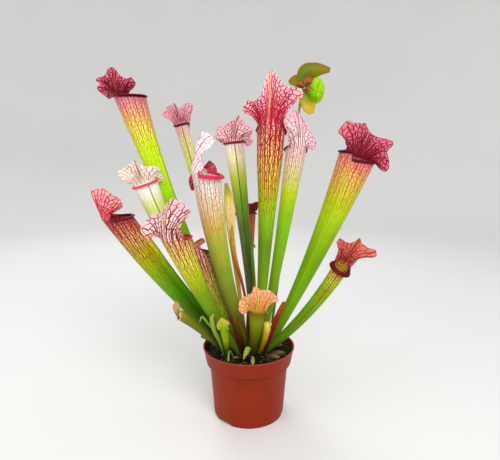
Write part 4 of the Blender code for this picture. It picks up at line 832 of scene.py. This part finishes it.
# The short leaf in front turns its back. Its frilled hood is yellow and orange with red veins, over a stout
# green tube with a broad keel.
set_pitcher("front_small", "yellow_leaf", Pitcher(
        (4.5, -12), (10.8, -40, 150), 82, 10.4, foot_radius=4, bow=(0, -6, -2), slant=0.3, keel=3, lean=14,
        cup=-0.1, ruffle=2, waves=4.2, hood=((-11.5, 0.5), (-16, -2), (-21.5, 5), (-20.5, 14.5),
        (-14, 21.5), (-8.5, 26), (-6, 33.5), (2, 30.5), (13, 31.5), (20, 27.5), (23.5, 21), (14.5, 16),
        (11, 7.5))),
    vein=(150, 100, 20), hood_vein=(196, 50, 46), lip=(190, 110, 50), seam=(120, 130, 10), windows=1.1,
    ground=((0, 44, 72, 1), (0.3, 61, 92, 1), (0.6, 91, 114, 1), (0.85, 115, 140, 1), (1, 75, 91, 6),
    (1.15, 178, 166, 34), (1.5, 208, 174, 84), (2, 238, 190, 148)),
    net=((0, 0), (0.85, 0.03), (1, 0.16), (1.2, 0.38), (1.6, 0.42), (2, 0.36)), flush=(240, 110, 90),
    flush_at=((0, 0), (1.5, 0), (1.8, 0.2), (2, 0.25)), bleed=0.25)


# Three young leaves have only just opened near the pot's edge: a short green one at the left, a yellow one
# right of it and a low olive one with its mouth to the left. Each has a tiny hood still folded up.
YOUNG = {"columns": 64, "tube_rows": 36, "crown_rows": 18, "wall": 0.0007}
set_pitcher("young_left", "young_leaf", Pitcher(
        (-25, -25), (-29.3, -48, 131), 75, 4.6, foot_radius=1.8, bow=(0, -2, 0), swell=1, slant=0.3, lip=1,
        keel=1, lean=15, ruffle=1, waves=3, hood=((-4, 1), (-7, 6.5), (-4, 13.5), (0, 18.5), (6, 15.5),
        (10.5, 14), (7, 8.5))),
    vein=(150, 130, 30), lip=(170, 180, 60), seam=(120, 150, 20),
    ground=((0, 22, 39, 1), (0.4, 36, 60, 1), (0.7, 134, 174, 1), (1, 118, 159, 1), (1.5, 144, 186, 16),
    (1.85, 190, 186, 70), (2, 206, 140, 70)), net=((0, 0), (1, 0.04), (2, 0.08)), **YOUNG)

set_pitcher("young_right", "young_leaf", Pitcher(
        (13.5, -12.6), (23, -30, 131.2), 100, 5, foot_radius=2, bow=(3.4, -4, 0), swell=1, slant=0.3, lip=1,
        keel=2, lean=10, ruffle=1, waves=3, hood=((-6, -1), (-5.5, 3), (-4, 5), (-1.5, 4.5), (1.5, 0.5),
        (4, -3), (1, -5.5))),
    vein=(170, 140, 30), lip=(224, 196, 60), seam=(226, 206, 70),
    ground=((0, 67, 91, 2), (0.4, 134, 143, 6), (0.75, 210, 164, 29), (1, 255, 246, 94),
    (1.7, 250, 224, 90), (1.9, 170, 100, 50), (2, 110, 50, 30)),
    net=((0, 0), (1, 0.04), (2, 0.05)), **YOUNG)

set_pitcher("young_low", "young_leaf", Pitcher(
        (-31, -10), (-81.2, -46, 147.5), 180, 5.8, foot_radius=2.8, bow=(0, -4, 10), swell=0.7, slant=0,
        lip=0.8, keel=1, lean=4, twist=85, ruffle=0.5, waves=3,
        hood=((7.5, 1.5), (-3.5, 7.5), (-10.5, 15.5), (-11, 20.5), (-2, 17.5), (4.5, 11, 1), (13.5, -0.5))),
    vein=(150, 80, 50), lip=(214, 170, 130), seam=(90, 110, 20),
    ground=((0, 54, 84, 1), (0.5, 78, 110, 1), (0.9, 102, 126, 2), (1, 150, 140, 40), (1.25, 196, 196, 100),
    (1.8, 206, 190, 110), (2, 220, 110, 100)), net=((0, 0), (0.8, 0.04), (1.2, 0.16), (2, 0.16)), **YOUNG)


# The closed leaves, young tips and withered leaves are solid to the eye: a yellow bud-like pitcher that is
# still shut, a thin amber one, hooked green tips, and red-brown straps that have dried.
SOIL_MM = SOIL_TOP * 1000
STEM_ROWS, STEM_COLUMNS, STEM_CELL = 52, 28, 14.0


def stem(name, node, slot, finish, *stations, flat_to=(0, -1, 0), groove=0.0):
    """A closed leaf or stalk through points, each with its width and thickness, in mm, rooted in the soil.

    Its width lies across flat_to, and a groove runs up the side that looks there.
    """
    path, size = np.split(np.array(stations, float) / 1000, [3], axis=1)
    path = np.vstack([path[0] - unit(path[1] - path[0]) * FOOT_DEPTH, path])
    size = np.vstack([size[0], size])
    at = np.concatenate([[0], np.linspace(1, len(path) - 1, STEM_ROWS)])
    path, size = smooth_through(path, at), smooth_through(size, at)
    axis = unit(np.gradient(path, axis=0))
    rounding = np.linspace(0, math.pi / 2, 6)[1:]
    cap = path[-1] + np.outer(np.sin(rounding) * size[-1, 1] / 2, axis[-1])
    path = np.vstack([path[:1], path, cap])
    size = np.vstack([size[:1] * 1e-6, size, np.outer(np.maximum(np.cos(rounding), 1e-6), size[-1])])
    axis = np.vstack([axis[:1], axis, np.repeat(axis[-1:], len(cap), axis=0)])
    face = across(np.broadcast_to(np.array(flat_to, float), axis.shape), axis)[:, None, :]
    side = np.cross(axis[:, None, :], face)
    angle = np.linspace(-math.pi, math.pi, STEM_COLUMNS + 1)
    depth = 1 - groove * bell((np.abs(angle) - math.pi / 2) / 0.5) * (np.sin(angle) > 0)
    half = size[:, None, :] / 2
    sheet = path[:, None, :] + side * (np.cos(angle) * half[..., 0] * depth)[..., None]
    sheet = sheet + face * (np.sin(angle) * half[..., 1] * depth)[..., None]
    sheet[:, -1] = sheet[:, 0]
    steps = np.linalg.norm(np.diff(path, axis=0), axis=1)
    along = np.concatenate([[0], np.cumsum(steps)]) / steps.sum()
    set_in_place(skin(sheet, angle, along, STEM_CELL, finish), name, slot, node)


coat = leaf_finish("closed_bud_skin",
    vein=(176, 110, 30), ground=((0, 110, 140, 4), (0.35, 240, 200, 80), (0.62, 255, 226, 140),
    (0.86, 255, 232, 160), (0.92, 230, 226, 90), (0.96, 160, 200, 10), (2, 130, 160, 10)),
    net=((0, 0), (0.6, 0.1), (2, 0.1)))
stem("closed_bud", "leaf_closed", "yellow_leaf", coat,
    (-3, 14, SOIL_MM, 4, 4), (-12, 2, 160, 5.5, 5), (-21, -8, 232, 8, 7), (-23.5, -11, 268, 13.5, 9),
    (-24.5, -12, 285, 11, 7), (-27.5, -12, 302, 4, 2.5), groove=0.15)

coat = leaf_finish("amber_tip_skin",
    vein=(150, 60, 20), ground=((0, 90, 16, 12), (0.45, 140, 40, 22), (0.66, 190, 84, 40),
    (0.76, 226, 150, 40), (0.86, 236, 190, 30), (0.95, 214, 200, 40), (2, 180, 180, 40)), streak=0.3)
stem("amber_tip", "leaf_amber", "yellow_leaf", coat,
    (6.5, -2, SOIL_MM, 2.6, 2), (-5.5, -8, 163, 3.4, 2.4), (-15.5, -12, 204, 5, 2.4),
    (-19.7, -16, 232, 4.8, 2), (-20.2, -17, 251, 1.6, 1), groove=0.2)

green_tip = leaf_finish("green_tip_skin",
    vein=(90, 120, 30), ground=((0, 70, 116, 2), (0.4, 104, 154, 4), (0.8, 136, 176, 16),
    (0.95, 170, 184, 60), (2, 150, 120, 60)), streak=0.25)
stem("hooked_back_tip", "leaf_hooked_back", "young_leaf", green_tip,
    (11, 18, SOIL_MM, 2.6, 2.2), (8, 22, 165, 3.4, 2.6), (4.5, 29, 212, 4, 2.6), (5, 27, 221, 3.6, 2.2),
    (8.5, 23, 217, 2, 1.4), groove=0.3)
stem("hooked_left_tip", "leaf_hooked_left", "young_leaf", green_tip,
    (-29, -15, SOIL_MM, 2.8, 2.4), (-34, -31, 111, 3.4, 2.4), (-49, -44, 137, 3, 2),
    (-55, -48, 146, 2.6, 1.8), (-58, -49, 140, 1.4, 1), groove=0.3)

coat = leaf_finish("olive_tip_skin",
    vein=(110, 60, 20), ground=((0, 60, 76, 12), (0.5, 96, 96, 16), (0.8, 150, 96, 30), (0.95, 176, 90, 40),
    (2, 120, 60, 30)), streak=0.3)
stem("olive_tip", "leaf_olive", "young_leaf", coat,
    (-3, -11, SOIL_MM, 2.6, 2.2), (-5, -17, 106, 5.6, 3), (-11, -21, 126, 3.6, 2.2),
    (-15, -22, 136, 1.4, 1.2), groove=0.3)

pale_tip = leaf_finish("pale_tip_skin",
    vein=(120, 140, 50), ground=((0, 84, 112, 24), (0.4, 116, 138, 36), (0.8, 146, 160, 58),
    (0.95, 170, 166, 84), (2, 150, 124, 66)), streak=0.25)
stem("bud_left_tip", "leaf_bud_left", "young_leaf", pale_tip,
    (-31, -23, SOIL_MM, 2.2, 2), (-35, -37, 108, 3, 2.4), (-41, -44, 127, 5.2, 3.6),
    (-43.8, -48, 143, 5, 3.4), (-41.5, -48, 149, 2.4, 1.8), groove=0.2)
stem("curled_front_tip", "leaf_curled_front", "young_leaf", pale_tip,
    (-1, -19, SOIL_MM, 3.4, 3), (-2, -27, 94, 6, 4.6), (-1, -36, 100, 7.8, 5.2), (-4, -42, 96.5, 5, 3),
    (-6, -44, 91.5, 2.2, 1.6), groove=0.3)
stem("lying_front_tip", "leaf_lying_front", "young_leaf", pale_tip,
    (4, -28, SOIL_MM, 2.2, 2), (4.5, -38, 90.5, 4.2, 2.6), (5, -48, 90, 5, 2.6), (5, -53, 88.5, 2, 1.6),
    groove=0.2)

coat = leaf_finish("drooping_tip_skin",
    vein=(90, 120, 30), ground=((0, 90, 140, 20), (0.5, 120, 170, 30), (0.9, 150, 176, 60),
    (0.97, 190, 120, 90), (2, 170, 90, 60)), streak=0.2)
stem("drooping_tip", "leaf_drooping", "young_leaf", coat,
    (-18.5, -28, SOIL_MM, 2, 2), (-22, -37, 97.5, 2.2, 2), (-24, -44, 98.5, 2.4, 1.8),
    (-24, -53.5, 94, 2.6, 1.6))

coat = leaf_finish("cut_leaf_skin",
    vein=(80, 110, 20), ground=((0, 60, 100, 14), (0.6, 84, 124, 16), (0.9, 104, 124, 24),
    (0.96, 140, 90, 40), (2, 120, 70, 40)), streak=0.3)
stem("cut_leaf", "leaf_cut", "young_leaf", coat,
    (-30, 2, SOIL_MM, 6, 3.4), (-37, 1, 94.5, 11, 3.4), (-50, 0, 101.5, 13.5, 3.2),
    (-60.5, -1, 106.5, 12, 2.4), flat_to=(-0.3, -1, 0.6), groove=0.3)

coat = leaf_finish("withered_strap_skin",
    vein=(60, 8, 8), ground=((0, 70, 8, 8), (0.4, 116, 14, 12), (0.7, 150, 44, 20), (0.85, 176, 84, 28),
    (1, 190, 110, 36), (2, 190, 110, 36)), streak=0.5, shine=0.5)
stem("withered_strap", "leaf_withered_right", "withered_leaf", coat,
    (19.9, -14, SOIL_MM, 3, 1.2), (24.2, -17.5, 100, 5.5, 1.3), (33, -20, 128, 6.8, 1.3),
    (42.5, -22, 152, 5, 1.2), (44.5, -22, 156, 2.2, 1))

coat = leaf_finish("withered_spike_skin",
    vein=(60, 8, 8), ground=((0, 60, 4, 10), (0.5, 120, 12, 22), (0.8, 180, 30, 36), (0.95, 200, 70, 60),
    (2, 190, 80, 60)), streak=0.4, shine=0.4)
stem("withered_spike", "leaf_withered_left", "withered_leaf", coat,
    (-6, -20, SOIL_MM, 3.2, 2.2), (-13, -24, 105, 3.8, 2.2), (-23, -30, 138, 2.4, 1.6),
    (-28, -33, 152, 1.2, 1))


# The flower nods on a stalk of its own at the back: five fleshy sepals, olive with orange-brown margins,
# three small reddish bracts where they meet the stalk, and the lime-green umbrella of the style.
stem("flower_stalk_skin", "flower_stalk", "young_leaf", green_tip,
    (30, 34, SOIL_MM, 4, 4), (46, 50, 200, 3.6, 3.6), (64, 68, 330, 3.4, 3.4), (70.5, 72, 405, 3.4, 3.4),
    (75.2, 70.5, 426.2, 3, 3))


def sepal_finish(name, heart, outer, margin, edge_from=0.75):
    """A fleshy petal: its colour at the base and towards the tip, and that of its edge."""
    made, shader, at = new_finish(name, Subsurface_Weight=0.06, Subsurface_Radius=(0.002, 0.0015, 0.0006),
                                  Subsurface_Scale=1.0, Specular_IOR_Level=0.12)
    blotch, fibre = clouds(at, 120.0, 4.0), fibres(at, 22.0, 1.2)
    outwards = (attribute(at, "along") + (blotch - 0.5) * 0.5).step(0.2, 0.9)
    colour = outwards.tint(paint(*heart), paint(*outer))
    at_edge = (attribute(at, "edge") + (blotch - 0.5) * 0.3).step(edge_from, 1.02)
    colour = at_edge.tint(colour, paint(*margin))
    shade = 1 + (fibre - 0.5) * 0.3 + (blotch - 0.5) * 0.2
    colour = at.node("VectorMath", {"operation": "SCALE"}, {0: colour, "Scale": shade})
    feed(shader, Base_Color=colour, Roughness=0.38 + (blotch - 0.5) * 0.2)
    raise_relief(shader, 0.3, 0.0004, fibre + blotch * 0.5)
    return made


FLOWER_HEART = np.array([0.0775, 0.070, 0.432])
PETAL_ROWS, PETAL_COLUMNS, BRACT_WALL = 28, 18, 0.0007


def petal(name, base, knee, tip, half_width, flat_to, cup, finish, wall=0.0010, heart=FLOWER_HEART):
    """A pointed plate from base to tip, in mm from the heart, bowed to the knee and cupped in its width."""
    base, knee, tip = (heart + np.array(p, float) / 1000 for p in (base, knee, tip))
    v = np.linspace(0, 1, PETAL_ROWS + 1)[:, None]
    spine = (1 - v) ** 2 * base + 2 * v * (1 - v) * knee + v**2 * tip
    axis = unit((1 - v) * (knee - base) + v * (tip - knee))
    face = across(np.broadcast_to(np.array(flat_to, float), axis.shape), axis)
    side = np.cross(axis, face)
    width = half_width / 1000 * np.sin(math.pi * (0.14 + 0.80 * v)) ** 0.8
    u = np.linspace(-1, 1, PETAL_COLUMNS + 1)[:, None]
    bent = cup * width[:, None] * u**2
    sheet = spine[:, None] + side[:, None] * (u * width[:, None]) + face[:, None] * bent
    sheet[..., 2] = np.minimum(sheet[..., 2], solid_box[1][2] - wall / 2)
    bpy.ops.mesh.primitive_grid_add(x_subdivisions=PETAL_COLUMNS, y_subdivisions=PETAL_ROWS, size=1)
    made = bpy.context.object
    made.data.vertices.foreach_set("co", sheet.reshape(-1))
    made.data.uv_layers[0].name = "veins"
    edge = np.maximum(np.abs(u).T, np.maximum(1 - v / 0.08, (v - 0.86) / 0.14))
    write_values(made.data, {"along": v, "edge": edge}, (PETAL_ROWS + 1, PETAL_COLUMNS + 1))
    thicken(made, wall)
    bpy.ops.object.shade_smooth()
    made.data.materials.append(finish)
    made.select_set(False)
    set_in_place(made, name, "flower", "flower")


olive = sepal_finish("olive_sepal", (88, 110, 1), (122, 108, 1), (188, 92, 4), edge_from=0.84)
yellow = sepal_finish("yellow_sepal", (130, 146, 20), (196, 168, 36), (204, 116, 30), edge_from=0.85)
brown = sepal_finish("brown_sepal", (186, 130, 40), (196, 140, 60), (176, 90, 40))
red = sepal_finish("red_bract", (150, 110, 50), (172, 66, 62), (160, 50, 56))
petal("sepal_top", (0, 0, 2), (-6, 0, 30), (34, 0, 23), 12.5, (0.3, -1, 0.2), -0.3, olive)
petal("sepal_left", (0, 0, 1), (-10, 0, 12), (-22, 1, 6), 9, (0, -1, 0.2), 0.2, olive)
petal("sepal_low", (2, -1, -2), (2, -4, -22), (9, -4, -36), 10.5, (0, -1, 0), 0.2, yellow)
petal("sepal_far", (1, 1, -1), (4, 12, -12), (12, 20, -22), 10.5, (1, -1, 0), 0.2, brown)
petal("sepal_back", (1, 1, 1), (0, 14, 16), (16, 24, 12), 10.5, (1, -1, 0), -0.2, olive)
petal("bract_top", (1, -2, 1), (0, -9, 10), (11, -11, 6), 5.5, (0.2, -1, 0.2), 0.2, red, BRACT_WALL)
petal("bract_left", (0, -2, 1), (-6, -8, 4), (-11, -9, 3), 4.2, (0, -1, 0.5), 0.2, red, BRACT_WALL)
petal("bract_low", (1, -2, 0), (4, -9, -1), (6, -11, -8), 4.2, (0.3, -1, 0), 0.2, red, BRACT_WALL)

UMBRELLA_ROWS, UMBRELLA_RADIUS, UMBRELLA_DEPTH = 44, 0.0150, 0.0125
UMBRELLA_MIDDLE, DIMPLE = 0.0145, 0.002
FOLDS_BEYOND, FOLDS_UP, FOLD_DEPTH = 0.012, -0.009, 0.34
turn = np.linspace(-math.pi, math.pi, 61)
tilt = np.radians(np.linspace(2, 178, UMBRELLA_ROWS))[:, None]
out = UMBRELLA_RADIUS * np.sin(tilt) * (1 + 0.05 * np.cos(5 * turn) + 0.02 * np.cos(10 * turn))
beyond = UMBRELLA_MIDDLE - UMBRELLA_DEPTH * np.cos(tilt) - DIMPLE * bell(out / 0.004) * (np.cos(tilt) < 0)
near, up = out * np.cos(turn), -0.004 + 1.15 * out * np.sin(turn)
spoke = np.arctan2(up - FOLDS_UP, beyond - FOLDS_BEYOND)
fold = bell(np.sin(2.5 * spoke + 0.4) / 0.22) * eased(np.hypot(up - FOLDS_UP, beyond - FOLDS_BEYOND) / 0.002)
near = near * (1 - FOLD_DEPTH * fold * (near < 0))
umbrella = np.stack([beyond, near, up], axis=2) + FLOWER_HEART
umbrella[[0, -1]] = umbrella[[0, -1]].mean(axis=1, keepdims=True)
umbrella[:, -1] = umbrella[:, 0]
lime = leaf_finish("lime_umbrella", ((0, 96, 140, 1), (0.5, 150, 204, 1), (1, 156, 204, 1), (2, 156, 204, 1)),
                   vein=(90, 140, 10), streak=0.12)
umbrella = skin(umbrella, turn, np.linspace(0, 1, UMBRELLA_ROWS), 5.0, lime)
set_in_place(umbrella, "style_umbrella", "flower", "flower")


# Dry papery scales, light brown and curled, are the last of the sheaths that young leaves push through.
# They lie loose on the peat at the feet of the leaves.
papery = sepal_finish("papery_scale", (76, 56, 28), (126, 98, 58), (96, 70, 38), edge_from=0.6)
for number, (x, y, azimuth, size) in enumerate((
        (0.024, -0.018, -35, 19), (0.030, -0.012, -10, 16), (-0.010, -0.026, 210, 11), (0.034, 0.004, 20, 12),
        (-0.026, -0.020, 200, 10), (-0.008, 0.030, 110, 14), (0.016, 0.034, 60, 12))):
    east, north = math.cos(math.radians(azimuth)) * size, math.sin(math.radians(azimuth)) * size
    petal(f"dry_scale_{number}", (0, 0, 0), (east / 2, north / 2, 4), (east, north, 1), size * 0.28,
          (0, 0, 1), -0.5, papery, 0.0006, heart=(x, y, SOIL_TOP + 0.0012))


# A plain pale floor that curves up to a pale wall all round, soft light from large lamps, and the camera
# at the photograph's viewing angle.
FLOOR_RADIUS, WALL_CURVE, PLANT_MIDDLE = 1.9, 0.8, Vector((0, 0, 0.22))
EYE, LOOKS_DOWN = (0.0017, -0.5033, 0.315), 8.1
bpy.ops.mesh.primitive_circle_add(vertices=96, radius=0.5, fill_type="NGON", location=(0, 0, -0.0001))
sweep = [(0.5, 0), (1.0, 0), (1.5, 0), (FLOOR_RADIUS, 0)]
sweep += [(FLOOR_RADIUS + WALL_CURVE * math.sin(rise), WALL_CURVE - WALL_CURVE * math.cos(rise))
          for rise in np.linspace(0.15, math.pi / 2, 10)]
backdrop = turn_levels(sweep + [(FLOOR_RADIUS + WALL_CURVE, 2 * WALL_CURVE)], closed=False)
bpy.ops.object.shade_smooth()
pale, shader, at = new_finish("pale_paper", Roughness=0.9)
feed(shader, Base_Color=clouds(at, 3.0).tint(paint(222, 221, 219), paint(228, 227, 225)))
backdrop.data.materials.append(pale)

for name, place, size, power in (("key", (0.5, -1.5, 1.6), 1.2, 30), ("fill", (-1.5, -1.0, 0.9), 1.4, 9),
                                 ("rim", (-0.6, 1.4, 1.6), 1.0, 12)):
    lamp = bpy.data.lights.new(name, "AREA")
    lamp.energy, lamp.size = power, size
    made = bpy.data.objects.new(name, lamp)
    made.location = place
    made.rotation_mode = "QUATERNION"
    made.rotation_quaternion = (PLANT_MIDDLE - Vector(place)).to_track_quat("-Z", "Y")
    bpy.context.scene.collection.objects.link(made)

sky = bpy.data.worlds.new("soft_sky")
sky.use_nodes = True
sky.node_tree.nodes["Background"].inputs["Color"].default_value = (0.95, 0.97, 1.0, 1)
sky.node_tree.nodes["Background"].inputs["Strength"].default_value = 0.66
bpy.context.scene.world = sky
bpy.context.scene.view_settings.view_transform = "Standard"

lens = bpy.data.cameras.new("camera")
lens.lens, lens.sensor_width = 28.8, 36.0
camera = bpy.data.objects.new("camera", lens)
camera.location = EYE
camera.rotation_euler = (math.radians(90 - LOOKS_DOWN), 0, 0)
bpy.context.scene.collection.objects.link(camera)
bpy.context.scene.camera = camera
